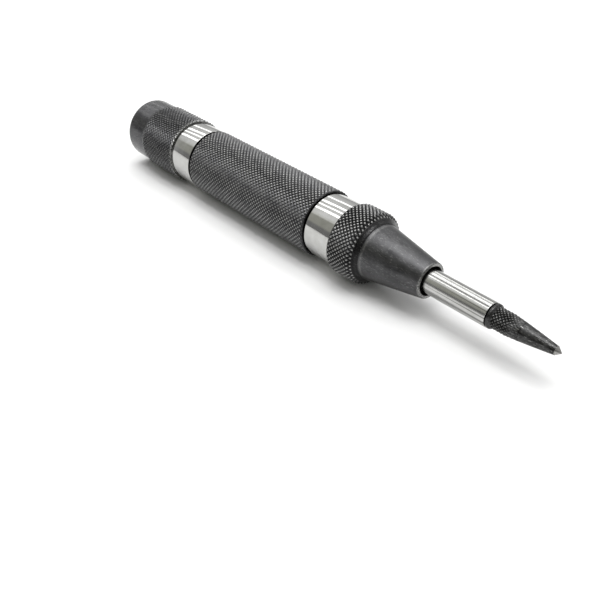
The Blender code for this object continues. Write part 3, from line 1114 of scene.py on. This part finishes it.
@dataclass
class Cap(Assembly):
    """The adjusting cap: plain tail, knurled grip, bright land and male thread.

    Args:
        tail_mm: The length of the plain tail.
        tail_radius_mm: Its radius.
        tail_fillet_mm: How far its rear edge is rounded.
        end_flat_mm: How far in from that edge its flat end begins.
        grip_mm: The length of the knurled grip.
        edge_radius_mm: The radius to which the grip's front edge is chamfered.
        edge_slopes: How steeply the grip's front and rear chamfers rise.
        land_mm: The length of the bright land.
        land_radius_mm: Its radius.
        relief_mm: The width of the turned relief in front of the land.
        spigot_radius_mm: The radius over the thread.
        thread_pitch_mm: The distance between the thread's crests.
        thread_depth_mm: The depth of the thread, and of the undercuts at its ends.
        thread_start_mm: How far the thread starts behind the cap's front.
        thread_run_in_mm: How far the thread runs into the relief.
        bore_radius_mm: The radius of the spring's bore.
        end_wall_mm: The thickness of the closed end.
        knurl: The knurl round the grip.
    """

    tail_mm: float = 7.9
    tail_radius_mm: float = 8.9
    tail_fillet_mm: float = 0.9
    end_flat_mm: float = 2.2
    grip_mm: float = 15.7
    edge_radius_mm: float = 9.2
    edge_slopes: tuple[float, float] = (0.6, 0.36)
    land_mm: float = 8.7
    land_radius_mm: float = 8.8
    relief_mm: float = 0.3
    spigot_radius_mm: float = 6.9
    thread_pitch_mm: float = 1.0
    thread_depth_mm: float = 0.5
    thread_start_mm: float = 0.2
    thread_run_in_mm: float = 0.3
    bore_radius_mm: float = 5.6
    end_wall_mm: float = 3.7
    knurl: Knurl = field(default_factory=lambda: Knurl(count=50, depth_mm=0.25))

    def grip_front(self) -> float:
        """Where the knurled grip meets the bright land."""
        return Span.of("adjusting_cap").rear + (self.tail_mm + self.grip_mm) * MM

    def oxide(self) -> BlackOxide:
        """The cap's oxide: darker and glossier than the grip's, and rubbed at its front edge."""
        return BlackOxide(
            "cap_black_oxide",
            dark="#3e3e40",
            light="#4f4f50",
            roughness=(0.18, 0.34),
            crest_wear_and_highlight=0.22,
            painted_groove_shade=0.35,
            wear=(Wear(self.grip_front(), 1.2 * MM, 0.5),),
        )

    def build(self, plate: BrightPlate) -> None:
        """Build the cap's two visible pieces."""
        span = Span.of("adjusting_cap")
        grip_rear = span.rear + self.tail_mm * MM
        land_rear = self.grip_front()
        land_front = land_rear + self.land_mm * MM
        self._body(span, grip_rear, land_rear, land_front)
        self.land(
            "adjusting_cap_land",
            (land_front - self.relief_mm * MM, land_rear + SEAM),
            (self.land_radius_mm, self.spigot_radius_mm - self.thread_depth_mm + SLEEVE_GAP_MM),
            (0.12, 0.05),
            Body.CAP,
            plate,
        )

    def _body(
        self, span: Span, grip_rear: float, land_rear: float, land_front: float
    ) -> None:
        """Build everything but the bright land."""
        tail = self.tail_radius_mm * MM
        spigot = self.spigot_radius_mm * MM
        depth = self.thread_depth_mm * MM
        root = spigot - depth
        bore = self.bore_radius_mm * MM
        bore_end = span.rear + self.end_wall_mm * MM
        thread_step = self.thread_pitch_mm * MM / THREAD_STEPS
        thread_front = span.front - self.thread_start_mm * MM
        thread_rear = land_front - self.thread_run_in_mm * MM
        rings = [Ring(bore_end, 0.0), Ring(bore_end, bore), Ring(span.front, bore)]
        rings += [Ring(span.front, root)]
        rings += stretch(thread_front, thread_rear, spigot, thread_step, Zone.THREADED)
        rings += [Ring(land_front - depth, root), Ring(land_rear, root)]
        rings += self.knurl.rings(land_rear, grip_rear, span.radius)
        tail_profile = [
            Corner(grip_rear - ROOT_STEP, tail),
            Corner(span.rear, tail, self.tail_fillet_mm * MM),
            Corner(span.rear, tail - self.end_flat_mm * MM),
            Corner(span.rear, 0.0),
        ]
        rings += rounded(tail_profile, steps=7)
        piece = Lathe(self.axis_height, self.knurl.segments).turn("adjusting_cap_body", rings)
        finish = self.oxide().material()
        thread = {
            "Axis Height": self.axis_height,
            "Front": thread_front,
            "Rear": land_front,
            "Tip Radius": spigot,
            "Depth": depth,
            "Pitch": self.thread_pitch_mm * MM,
            "Runout": depth,
        }
        run_tree(piece, thread_tree(), thread, finish)
        radii = (self.edge_radius_mm * MM, tail)
        ends = (land_rear, grip_rear)
        self.knurl.cut(piece, finish, self.axis_height, ends, radii, self.edge_slopes)
        place_piece(piece, Body.CAP, Slot.CAP, "adjusting_cap")


@dataclass
class Nose(Assembly):
    """The nose piece: bright land, knurled collar and cone.

    Args:
        land_radius_mm: The radius of the bright land.
        land_gap_mm: The gap between the barrel and the land.
        collar_rear_mm: How far the collar's rear edge is in front of the barrel.
        collar_mm: The length of the knurled collar.
        chamfer_mm: The length of the collar's front chamfer.
        edge_mm: How far the collar's rear edge is chamfered.
        edge_slope: How steeply that chamfer rises.
        face_radius_mm: The radius where the front chamfer meets the front face.
        face_mm: How far the front face leans forward.
        root_radius_mm: The cone's radius at its root.
        root_fillet_mm: How far that corner is rounded.
        front_radius_mm: The cone's radius at its front.
        spigot_radius_mm: The radius of the hidden thread.
        undercut_mm: The depth of the undercut beneath the land.
        chamber_radius_mm: The radius of the spindle head's chamber.
        chamber_front_mm: How far the chamber's end is behind the nose's front.
        bore_radius_mm: The radius of the spindle's bore.
        mouth_radius_mm: The radius of the counterbore at the front.
        mouth_mm: The depth of that counterbore.
        rim_mm: The radius of the worn front edge.
        knurl: The knurl round the collar.
    """

    land_radius_mm: float = 8.4
    land_gap_mm: float = 0.3
    collar_rear_mm: float = 9.45
    collar_mm: float = 6.65
    chamfer_mm: float = 1.1
    edge_mm: float = 0.3
    edge_slope: float = 0.6
    face_radius_mm: float = 8.37
    face_mm: float = 1.3
    root_radius_mm: float = 7.24
    root_fillet_mm: float = 0.12
    front_radius_mm: float = 4.5
    spigot_radius_mm: float = 6.9
    undercut_mm: float = 0.3
    chamber_radius_mm: float = 5.0
    chamber_front_mm: float = 17.35
    bore_radius_mm: float = 3.25
    mouth_radius_mm: float = 3.75
    mouth_mm: float = 2.0
    rim_mm: float = 0.35
    knurl: Knurl = field(default_factory=lambda: Knurl(count=50, depth_mm=0.32))

    def face_ends(self) -> tuple[float, float]:
        """Where the collar's front face begins, and where it meets the cone."""
        to_face = self.collar_rear_mm + self.collar_mm + self.chamfer_mm
        face = Span.of("barrel").front + to_face * MM
        return face, face + self.face_mm * MM

    def oxide(self) -> BlackOxide:
        """The nose's oxide: rubbed at the rim and the cone's root, with painted shade on the face in
        front of the collar.
        """
        face, root = self.face_ends()
        rim = Wear(Span.of("nose_piece").front, 0.4 * MM, 0.6)
        return BlackOxide(
            "nose_black_oxide",
            dark="#434344",
            light="#535354",
            crest_wear_and_highlight=0.72,
            painted_groove_shade=0.2,
            wear=(rim, Wear(root + 0.5 * MM, 0.5 * MM, 0.2)),
            # Painted shade on the face between the collar and the cone.
            dark_patches=(PaintedShade((face + root) / 2, (root - face) / 2, 0.3),),
        )

    def build(self, plate: BrightPlate) -> None:
        """Build the nose's two visible pieces."""
        barrel = Span.of("barrel")
        land_rear = barrel.front + self.land_gap_mm * MM
        collar_rear = barrel.front + self.collar_rear_mm * MM
        self._body(Span.of("nose_piece"), land_rear, collar_rear)
        self.land(
            "nose_land",
            (collar_rear - SEAM, land_rear),
            (self.land_radius_mm, self.spigot_radius_mm - self.undercut_mm + SLEEVE_GAP_MM),
            (0.05, 0.2),
            Body.BARREL,
            plate,
        )

    def _body(self, span: Span, land_rear: float, collar_rear: float) -> None:
        """Build the collar, the cone and the hidden thread."""
        face, root = self.face_ends()
        face_radius = self.face_radius_mm * MM
        undercut = self.undercut_mm * MM
        spigot = self.spigot_radius_mm * MM
        shoulder = span.front - self.chamber_front_mm * MM
        chamber = self.chamber_radius_mm * MM
        bore = self.bore_radius_mm * MM
        mouth = self.mouth_radius_mm * MM
        mouth_rear = span.front - self.mouth_mm * MM
        collar_front = face - KNURL_STEP
        outer = [
            Corner(span.front, mouth),
            Corner(span.front, self.front_radius_mm * MM, self.rim_mm * MM),
            Corner(root, self.root_radius_mm * MM, self.root_fillet_mm * MM),
            Corner(face, face_radius),
        ]
        rings = rounded(outer, steps=6)
        rise = (span.radius - face_radius) / (self.chamfer_mm * MM)

        def collar_radius(x: float) -> float:
            """The collar's radius before it is knurled, with its front chamfer."""
            return min(span.radius, face_radius + rise * (face - x))

        rings += self.knurl.rings(collar_front, collar_rear, collar_radius)
        rings += [Ring(collar_rear, self.land_radius_mm * MM - undercut)]
        rings += [Ring(collar_rear, spigot - undercut), Ring(land_rear, spigot - undercut)]
        rings += [Ring(land_rear, spigot), Ring(span.rear, spigot), Ring(span.rear, chamber)]
        rings += [Ring(shoulder, chamber), Ring(shoulder, bore), Ring(mouth_rear, bore)]
        rings += [Ring(mouth_rear, mouth)]
        lathe = Lathe(self.axis_height, self.knurl.segments)
        piece = lathe.turn("nose_body", rings, closed=True)
        self.knurl.cut(
            piece,
            self.oxide().material(),
            self.axis_height,
            (collar_front, collar_rear),
            (NO_CHAMFER, span.radius - self.edge_mm * MM),
            (1.0, self.edge_slope),
        )
        place_piece(piece, Body.BARREL, Slot.NOSE, "nose_piece")


@dataclass
class Spindle(Assembly):
    """The bright sliding rod with its head inside the nose.

    Args:
        head_mm: The length of the head.
        rod_radius_mm: The radius of the rod.
        socket_radius_mm: The radius of the trip pin's socket in the head.
        socket_mm: The depth of that socket.
        hole_radius_mm: The radius of the point's hole.
        hole_mm: The depth of that hole.
        edge_mm: How far the small edges are rounded; the head's own are rounded twice as far.
        root_mm: How far the corner between head and rod is rounded.
    """

    head_mm: float = 6.9
    rod_radius_mm: float = 3.05
    socket_radius_mm: float = 2.5
    socket_mm: float = 2.2
    hole_radius_mm: float = 1.7
    hole_mm: float = 8.5
    edge_mm: float = 0.2
    root_mm: float = 0.3

    def plate(self) -> BrightPlate:
        """The rod's plate: softer than the lands', with deep polishing lines darkened as painted shade.
        """
        return BrightPlate(
            "spindle_chrome_plate",
            roughness=(0.12, 0.2),
            line_mm=0.5,
            line_painted_shade=0.4,
            line_depth_mm=0.05,
        )

    def build(self) -> None:
        """Build the rod and dress it."""
        span = Span.of("spindle")
        edge = self.edge_mm * MM
        rod = self.rod_radius_mm * MM
        head_front = span.rear + self.head_mm * MM
        hole = self.hole_radius_mm * MM
        hole_end = span.front - self.hole_mm * MM
        socket = self.socket_radius_mm * MM
        socket_end = span.rear + self.socket_mm * MM
        corners = [
            Corner(hole_end, 0.0),
            Corner(hole_end, hole),
            Corner(span.front, hole),
            Corner(span.front, rod, edge),
            Corner(head_front, rod, self.root_mm * MM),
            Corner(head_front, span.radius, 2 * edge),
            Corner(span.rear, span.radius, 2 * edge),
            Corner(span.rear, socket, edge),
            Corner(socket_end, socket, edge),
            Corner(socket_end, 0.0),
        ]
        finish = self.plate().material()
        self.turned("spindle_rod", corners, finish, Body.SPINDLE, Slot.BRIGHT, "spindle")


@dataclass
class Point(Assembly):
    """The replaceable punch point with its gripping knurl and ground tip.

    Args:
        shank_mm: The length of the screwed shank.
        shank_radius_mm: Its radius.
        shoulder_mm: The length of the shoulder against the spindle.
        bevel_mm: The length of the bevel on the shoulder's front.
        base_mm: The length of the knurled base.
        base_radius_mm: The radius over its knurl.
        fade_mm: How far the knurl runs out onto the taper.
        swell_mm: How much the taper swells at its middle.
        ring_mm: The distance between the taper's rings.
        neck_radius_mm: The radius where the taper meets the ground tip.
        tip_mm: The length of the ground tip.
        nose_radius_mm: The radius of the very end.
        edge_mm: How far the ground tip's edges are rounded.
        knurl: The knurl round the base.
    """

    shank_mm: float = 8.5
    shank_radius_mm: float = 1.5
    shoulder_mm: float = 1.15
    bevel_mm: float = 0.6
    base_mm: float = 3.3
    base_radius_mm: float = 2.62
    fade_mm: float = 3.2
    swell_mm: float = 0.045
    ring_mm: float = 0.35
    neck_radius_mm: float = 1.07
    tip_mm: float = 1.3
    nose_radius_mm: float = 0.12
    edge_mm: float = 0.05
    knurl: Knurl = field(
        default_factory=lambda: Knurl(count=18, pitch_mm=0.92, depth_mm=0.24, crown=1.3)
    )

    def oxide(self) -> BlackOxide:
        """The point's oxide: the darkest, scratched through along the taper."""
        return BlackOxide(
            "point_black_oxide",
            dark="#303030",
            light="#4a4a4a",
            roughness=(0.2, 0.45),
            mottle_mm=0.6,
            scratch_share=0.45,
            crest_wear_and_highlight=0.5,
            painted_groove_shade=0.3,
        )

    def build(self) -> None:
        """Build the black point and its ground tip."""
        span = Span.of("punch_point")
        ground_rear = span.front - self.tip_mm * MM
        self._body(span, ground_rear)
        self._tip(span, ground_rear + TIP_SEAM)

    def _body(self, span: Span, ground_rear: float) -> None:
        """Build the shank, shoulder, knurled base and taper."""
        shoulder_rear = span.rear + self.shank_mm * MM
        neck = shoulder_rear + self.shoulder_mm * MM
        base_front = neck + self.base_mm * MM
        base = self.base_radius_mm * MM
        narrow = self.neck_radius_mm * MM
        shank = self.shank_radius_mm * MM
        knurl_front = base_front + self.fade_mm * MM

        def taper(x: float) -> float:
            """The radius of the base and of the slightly swelled taper in front of it."""
            share = max(0.0, (x - base_front) / (ground_rear - base_front))
            return base + (narrow - base) * share + self.swell_mm * MM * math.sin(math.pi * share)

        rings = [Ring(ground_rear, 0.0)]
        smooth = stretch(ground_rear, knurl_front, 1.0, self.ring_mm * MM, Zone.PLAIN)
        rings += [Ring(ring.x, taper(ring.x)) for ring in smooth[:-1]]
        rings += self.knurl.rings(knurl_front, neck, taper)
        shoulder = [
            Corner(neck - KNURL_STEP, base - 0.1 * MM),
            Corner(neck - self.bevel_mm * MM, span.radius, 0.15 * MM),
            Corner(shoulder_rear, span.radius, 0.12 * MM),
            Corner(shoulder_rear, shank),
            Corner(span.rear, shank, 0.3 * MM),
            Corner(span.rear, 0.0),
        ]
        rings += rounded(shoulder)
        piece = Lathe(self.axis_height, self.knurl.segments).turn("point_body", rings)
        finish = self.oxide().material()
        ends = (knurl_front, neck)
        self.knurl.cut(piece, finish, self.axis_height, ends, fade_mm=self.fade_mm)
        place_piece(piece, Body.SPINDLE, Slot.POINT, "punch_point")

    def _tip(self, span: Span, rear: float) -> None:
        """Build the bright ground cone."""
        end = self.nose_radius_mm * MM
        edge = self.edge_mm * MM
        corners = [
            Corner(span.front, 0.0),
            Corner(span.front - 0.3 * end, end * 0.7, edge),
            Corner(rear, self.neck_radius_mm * MM, edge),
            Corner(rear, 0.0),
        ]
        finish = GroundSteel("ground_steel").material()
        self.turned("point_ground_tip", corners, finish, Body.SPINDLE, Slot.POINT, segments=64)


@dataclass
class Mechanism(Assembly):
    """The turned pieces inside: spring seat, hammer, trip bush and trip pin.

    Args:
        pilot_radius_mm: The radius of the studs that centre the main spring.
        seat_mm: The thickness of the spring seat's disc.
        hammer_pilot_mm: The length of the hammer's stud.
        hammer_hole_radius_mm: The radius of the hammer's hole.
        hammer_hole_mm: The depth of that hole.
        bush_hole_radius_mm: The radius of the bush's hole.
        bush_land_mm: The length of that hole, behind the cone.
        bush_mouth_radius_mm: The radius of the cone's mouth.
        edge_mm: How far the edges are rounded.
    """

    pilot_radius_mm: float = 3.2
    seat_mm: float = 2.7
    hammer_pilot_mm: float = 3.0
    hammer_hole_radius_mm: float = 2.2
    hammer_hole_mm: float = 12.0
    bush_hole_radius_mm: float = 2.9
    bush_land_mm: float = 2.0
    bush_mouth_radius_mm: float = 4.4
    edge_mm: float = 0.35

    def build(self) -> None:
        """Build and dress the inner pieces."""
        finish = ToolSteel("hardened_steel").material()
        parts = [
            ("spring_seat_disc", self._seat(), Body.SPRING_SEAT, "spring_seat", False),
            ("hammer_weight", self._hammer(), Body.HAMMER, "hammer", False),
            ("trip_bush_ring", self._bush(), Body.BARREL, "trip_bush", True),
        ]
        for name, corners, body, node, closed in parts:
            self.turned(name, corners, finish, body, Slot.INNER, node, closed, INNER_SEGMENTS)
        # The trip pin leans at rest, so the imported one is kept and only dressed.
        dress(bpy.data.objects["trip_pin"], finish)
        LOG.info("trip_pin: carried over from the packed model")

    def _seat(self) -> list[Corner]:
        """The spring seat's profile."""
        span = Span.of("spring_seat")
        edge = self.edge_mm * MM
        pilot = self.pilot_radius_mm * MM
        step = span.rear + self.seat_mm * MM
        return [
            Corner(span.front, 0.0),
            Corner(span.front, pilot, 2 * edge),
            Corner(step, pilot, edge),
            Corner(step, span.radius, edge),
            Corner(span.rear, span.radius, edge),
            Corner(span.rear, 0.0),
        ]

    def _hammer(self) -> list[Corner]:
        """The hammer's profile."""
        span = Span.of("hammer")
        edge = self.edge_mm * MM
        pilot = self.pilot_radius_mm * MM
        hole = self.hammer_hole_radius_mm * MM
        hole_end = span.front - self.hammer_hole_mm * MM
        step = span.rear + self.hammer_pilot_mm * MM
        return [
            Corner(hole_end, 0.0),
            Corner(hole_end, hole, edge),
            Corner(span.front, hole, edge / 2),
            Corner(span.front, span.radius, edge),
            Corner(step, span.radius, edge),
            Corner(step, pilot, edge),
            Corner(span.rear, pilot, edge),
            Corner(span.rear, 0.0),
        ]

    def _bush(self) -> list[Corner]:
        """The trip bush's profile."""
        span = Span.of("trip_bush")
        edge = self.edge_mm * MM
        hole = self.bush_hole_radius_mm * MM
        land = span.rear + self.bush_land_mm * MM
        return [
            Corner(span.front, self.bush_mouth_radius_mm * MM, edge),
            Corner(span.front, span.radius, edge),
            Corner(span.rear, span.radius, edge),
            Corner(span.rear, hole),
            Corner(land, hole, edge),
        ]


@dataclass(frozen=True)
class CoilSpring:
    """A compression spring with closed ends, wound from round wire.

    Args:
        name: The piece's name.
        rear: The place of the wire's centre at the rear end.
        front: The same at the front end.
        rear_radius: The coil's radius at the rear end.
        front_radius: The same at the front end.
        wire_radius: The wire's radius.
        turns: The number of open turns.
        closed_rear: Whether the rear end has a closed turn.
        closed_front: Whether the front end has a closed turn.
        first_angle: The angle at which the rear end starts, in turns.
    """

    name: str
    rear: float
    front: float
    rear_radius: float
    front_radius: float
    wire_radius: float
    turns: float
    closed_rear: bool = True
    closed_front: bool = True
    first_angle: float = 0.0

    def build(self, axis_height: float, points_per_turn: int = 28) -> bpy.types.Object:
        """Wind the spring.

        Args:
            axis_height: The height of the tool's axis.
            points_per_turn: How many points the wire has in a turn.

        Returns:
            The spring as a closed mesh.
        """
        closed_pitch = CLOSED_PITCH * self.wire_radius
        rear_closed = float(self.closed_rear)
        front_closed = float(self.closed_front)
        total = self.turns + rear_closed + front_closed
        open_length = self.front - self.rear - closed_pitch * (rear_closed + front_closed)
        curve = bpy.data.curves.new(self.name, "CURVE")
        curve.dimensions = "3D"
        curve.bevel_depth = self.wire_radius
        curve.bevel_resolution = 3
        curve.use_fill_caps = True
        spline = curve.splines.new("POLY")
        count = round(total * points_per_turn)
        spline.points.add(count)
        for index, point in enumerate(spline.points):
            turn = total * index / count
            opened = min(max(turn - rear_closed, 0.0), self.turns)
            closed = turn - opened
            x = self.rear + closed * closed_pitch + opened / self.turns * open_length
            radius = self.rear_radius + (self.front_radius - self.rear_radius) * turn / total
            angle = 2 * math.pi * (turn + self.first_angle)
            y = radius * math.cos(angle)
            z = axis_height + radius * math.sin(angle)
            point.co = (x, y, z, 1.0)
        piece = link_object(self.name, curve)
        graph = bpy.context.evaluated_depsgraph_get()
        mesh = bpy.data.meshes.new_from_object(piece.evaluated_get(graph))
        bpy.data.objects.remove(piece)
        work = bmesh.new()
        work.from_mesh(mesh)
        bmesh.ops.remove_doubles(work, verts=work.verts, dist=self.wire_radius * 0.01)
        bmesh.ops.recalc_face_normals(work, faces=work.faces)
        work.to_mesh(mesh)
        work.free()
        mesh.shade_smooth()
        mesh.set_sharp_from_angle(angle=WIRE_SHARP_ANGLE)
        return link_object(self.name, mesh)


@dataclass
class Springs(Assembly):
    """The main spring, in two visible lengths that meet, and the trip spring.

    The rear length is built in place on no body, and the front length is put on the barrel.

    Args:
        main_wire_mm: The radius of the main spring's wire.
        main_pitch_mm: The distance between its turns.
        rear_share: The share of the main spring's length that the rear length takes.
        trip_wire_mm: The radius of the trip spring's wire.
        trip_narrow_mm: The coil radius at the trip spring's small end.
        trip_turns: The number of its open turns.
        stroke_mm: How far the spindle and the hammer are pushed back; not used.
    """

    main_wire_mm: float = 0.8
    main_pitch_mm: float = 3.4
    rear_share: float = 0.30
    trip_wire_mm: float = 0.3
    trip_narrow_mm: float = 3.2
    trip_turns: int = 6
    stroke_mm: float = 8.5

    def build(self) -> None:
        """Wind and dress the springs."""
        finish = ToolSteel("spring_wire", "#77777a", "#5c5b5e", (0.2, 0.3)).material()
        self._main(finish)
        self._trip(finish)

    def _main(self, finish: bpy.types.Material) -> None:
        """Build the main spring's two lengths."""
        span = Span.of("main_spring")
        wire = self.main_wire_mm * MM
        radius = span.radius - wire
        rear = span.rear + wire
        front = span.front - wire
        meet = rear + (front - rear) * self.rear_share
        pitch = self.main_pitch_mm * MM
        rear_turns = round((meet - rear) / pitch)
        front_turns = round((front - meet) / pitch)
        rear_length = CoilSpring(
            "main_spring_rear", rear, meet, radius, radius, wire, rear_turns, closed_front=False
        ).build(self.axis_height)
        dress(rear_length, finish)
        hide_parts("main_spring")
        ends = [(x, 0.0, self.axis_height) for x in (meet, rear + wire)]
        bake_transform(rear_length)
        front_length = CoilSpring(
            "main_spring_front", meet, front, radius, radius, wire, front_turns, closed_rear=False
        ).build(self.axis_height)
        place_piece(dress(front_length, finish), Body.BARREL, Slot.SPRING)
        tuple(ends[0])
        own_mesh(front_length)

    def _trip(self, finish: bpy.types.Material) -> None:
        """Build the conical trip spring."""
        span = Span.of("trip_spring")
        wire = self.trip_wire_mm * MM
        rear = span.rear + wire
        front = span.front - wire
        piece = CoilSpring(
            "trip_spring_coil",
            rear,
            front,
            span.radius - wire,
            self.trip_narrow_mm * MM,
            wire,
            self.trip_turns,
        ).build(self.axis_height)
        place_piece(dress(piece, finish), Body.BARREL, Slot.SPRING, "trip_spring")
        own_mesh(piece)


# ---------------------------------------------------------------------------------------------
# The studio


@dataclass(frozen=True)
class StripLight:
    """A long soft light parallel to the tool, whose reflection is a streak along bright metal.

    Args:
        name: The light's name.
        angle: Its direction seen along the tool, in degrees from the front horizon over the top.
        spread: How many degrees wide it looks from the tool.
        radiance: How bright its face is.
        length: Its length along the tool.
        distance: Its distance from the tool's axis.
        x: The place of its middle along the tool.
    """

    name: str
    angle: float
    spread: float
    radiance: float
    length: float = 1.9
    distance: float = 0.7
    x: float = -0.5

    def build(self) -> None:
        """Hang the light."""
        turn = math.radians(self.angle)
        direction = Vector((0.0, -math.cos(turn), math.sin(turn)))
        width = 2 * self.distance * math.tan(math.radians(self.spread / 2))
        data = bpy.data.lights.new(self.name, "AREA")
        data.shape = "RECTANGLE"
        data.size = self.length
        data.size_y = width
        data.energy = self.radiance * math.pi * self.length * width
        lamp = link_object(self.name, data)
        lamp.location = direction * self.distance + Vector((self.x, 0.0, 0.01))
        lamp.rotation_euler = (math.pi / 2 - turn, 0.0, 0.0)


@dataclass
class Studio:
    """A pale floor, soft lights and the camera.

    Args:
        axis_height: The height of the tool's axis.
        azimuth: The camera's turn from the tool's own side view, in degrees.
        elevation: Its angle above the floor, in degrees.
        lens_mm: The focal length on a 36 mm sensor.
        aim_mm: The barrel's rear edge as the camera sees it: right, up and away, in mm.
        tent: The tent's brightness at each angle from the front horizon, and its blue share.
        end_level: The tent's brightness beyond the tool's two ends.
        front_share: How much of that brightness is left on the side that the point faces.
        overhead_radiance: How bright the box over the tool is.
        overhead_side: The length of that box's sides.
        overhead_height: Its height over the floor.
        floor_half: Half the length of the floor's sides, far past where it fades from sight.
        backdrop: The brightness of the plain backdrop that is seen behind the floor.
    """

    axis_height: float
    azimuth: float = 49.34
    elevation: float = 34.33
    lens_mm: float = 51.0
    aim_mm: tuple[float, float, float] = (24.77, -40.18, 246.53)
    tent: tuple[tuple[float, float, float], ...] = (
        (0, 0.24, 1.0),
        (15, 0.26, 1.0),
        (23, 0.45, 0.91),
        (46, 0.47, 0.91),
        (51, 0.90, 0.97),
        (60, 1.05, 1.0),
        (100, 0.95, 1.0),
        (145, 0.90, 1.0),
        (160, 0.70, 1.0),
        (180, 0.50, 1.0),
    )
    end_level: float = 0.6
    front_share: float = 0.55
    overhead_radiance: float = 5.5
    overhead_side: float = 0.7
    overhead_height: float = 1.5
    floor_half: float = 30.0
    backdrop: float = 0.57

    def build(self) -> None:
        """Set up everything that isn't the tool."""
        self._floor()
        self._world()
        for strip in self.strips():
            strip.build()
        self._overhead()
        self._camera()
        bpy.context.scene.view_settings.view_transform = "Standard"

    def strips(self) -> list[StripLight]:
        """The strip lights, from the camera's side over the top to the far side."""
        return [
            StripLight("strip_near", 76, 7, 2.7),
            StripLight("strip_top", 94, 5, 2.5),
            StripLight("strip_far", 111, 7, 2.8),
            StripLight("strip_back", 138, 6, 2.3),
        ]

    def _overhead(self) -> None:
        """Hang a soft box straight over the tool, which opens up its shadow."""
        side = self.overhead_side
        data = bpy.data.lights.new("overhead_box", "AREA")
        data.shape = "SQUARE"
        data.size = side
        data.energy = self.overhead_radiance * math.pi * side * side
        lamp = link_object("overhead_box", data)
        lamp.location = (0.05, 0.0, self.overhead_height)

    def _floor(self) -> None:
        """Lay the floor."""
        half = self.floor_half
        mesh = bpy.data.meshes.new("studio_floor")
        corners = [(-half, -half, 0), (half, -half, 0), (half, half, 0), (-half, half, 0)]
        mesh.from_pydata(corners, [], [(0, 1, 2, 3)])
        floor = link_object("studio_floor", mesh)
        dress(floor, PaperFloor("white_paper").material())

    def _world(self) -> None:
        """Surround the tool with a soft tent: dim in front, bright overhead, dimmer behind."""
        world = bpy.data.worlds.new("soft_tent")
        bpy.context.scene.world = world
        world.use_nodes = True
        tree = world.node_tree
        add = partial(add_node, tree)
        direction = add(Kind.COORDINATES).outputs["Generated"]
        parts = add(Kind.SEPARATE, [direction]).outputs
        front = add(Kind.MATH, (parts[1], -1.0), operation="MULTIPLY")
        turn = add(Kind.MATH, (parts[2], front), operation="ARCTAN2")
        share = add(Kind.MATH, (turn, math.pi), operation="DIVIDE", use_clamp=True)
        tent = add(Kind.RAMP, [share])
        self._fill_ramp(tent.color_ramp)
        sideways = add(Kind.MATH, [parts[0]], operation="ABSOLUTE")
        ends = add(Kind.MAP_RANGE, (sideways, 0.72, 0.95))
        end_colour = (self.end_level, self.end_level, self.end_level, 1.0)
        mixed = add(Kind.MIX, (ends, tent, end_colour), data_type="RGBA")
        dimmed = add(Kind.MAP_RANGE, (parts[0], 0.0, 0.4, 1.0, self.front_share))
        seen = add(Kind.LIGHT_PATH).outputs["Is Camera Ray"]
        backdrop = (self.backdrop, self.backdrop, self.backdrop, 1.0)
        colour = add(Kind.MIX, (seen, mixed, backdrop), data_type="RGBA")
        strength = add(Kind.MATH, (seen, dimmed), operation="MAXIMUM")
        light = add(Kind.BACKGROUND, (colour, strength))
        tree.links.new(light.outputs[0], tree.nodes["World Output"].inputs["Surface"])

    def _fill_ramp(self, ramp: bpy.types.ColorRamp) -> None:
        """Write the tent's levels, from the front horizon over the top to the rear horizon."""
        ramp.interpolation = "EASE"
        while len(ramp.elements) > 1:
            ramp.elements.remove(ramp.elements[-1])
        for index, (angle, level, tint) in enumerate(self.tent):
            place = angle / 180
            element = ramp.elements[0] if index == 0 else ramp.elements.new(place)
            element.position = place
            element.color = (level, level, level * tint, 1.0)

    def _camera(self) -> None:
        """Place the camera by where it sees the barrel's rear edge."""
        turn = math.radians(self.azimuth)
        rise = math.radians(self.elevation)
        right = Vector((math.cos(turn), math.sin(turn), 0.0))
        up = Vector((-math.sin(rise) * math.sin(turn), math.sin(rise) * math.cos(turn), math.cos(rise)))
        back = right.cross(up)
        aim = Vector((Span.of("barrel").rear, 0.0, self.axis_height))
        across, above, away = (value * MM for value in self.aim_mm)
        data = bpy.data.cameras.new("camera")
        data.lens = self.lens_mm
        data.sensor_width = 36.0
        data.clip_start = 0.005
        data.clip_end = 50.0
        camera = link_object("camera", data)
        camera.location = aim + right * across + up * above + back * away
        camera.rotation_mode = "QUATERNION"
        camera.rotation_quaternion = (-back).to_track_quat("-Z", "Y")
        bpy.context.scene.camera = camera


def main() -> None:
    """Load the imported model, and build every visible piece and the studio."""
    logging.basicConfig(level=logging.INFO, format="%(name)s: %(message)s")
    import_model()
    low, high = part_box("barrel")
    axis_height = (low.z + high.z) / 2
    Studio(axis_height).build()
    plate = BrightPlate("bright_chrome_plate")
    Barrel(axis_height).build()
    Cap(axis_height).build(plate)
    Nose(axis_height).build(plate)
    Spindle(axis_height).build()
    Point(axis_height).build()
    Mechanism(axis_height).build()
    Springs(axis_height).build()


if __name__ == "__main__":
    main()
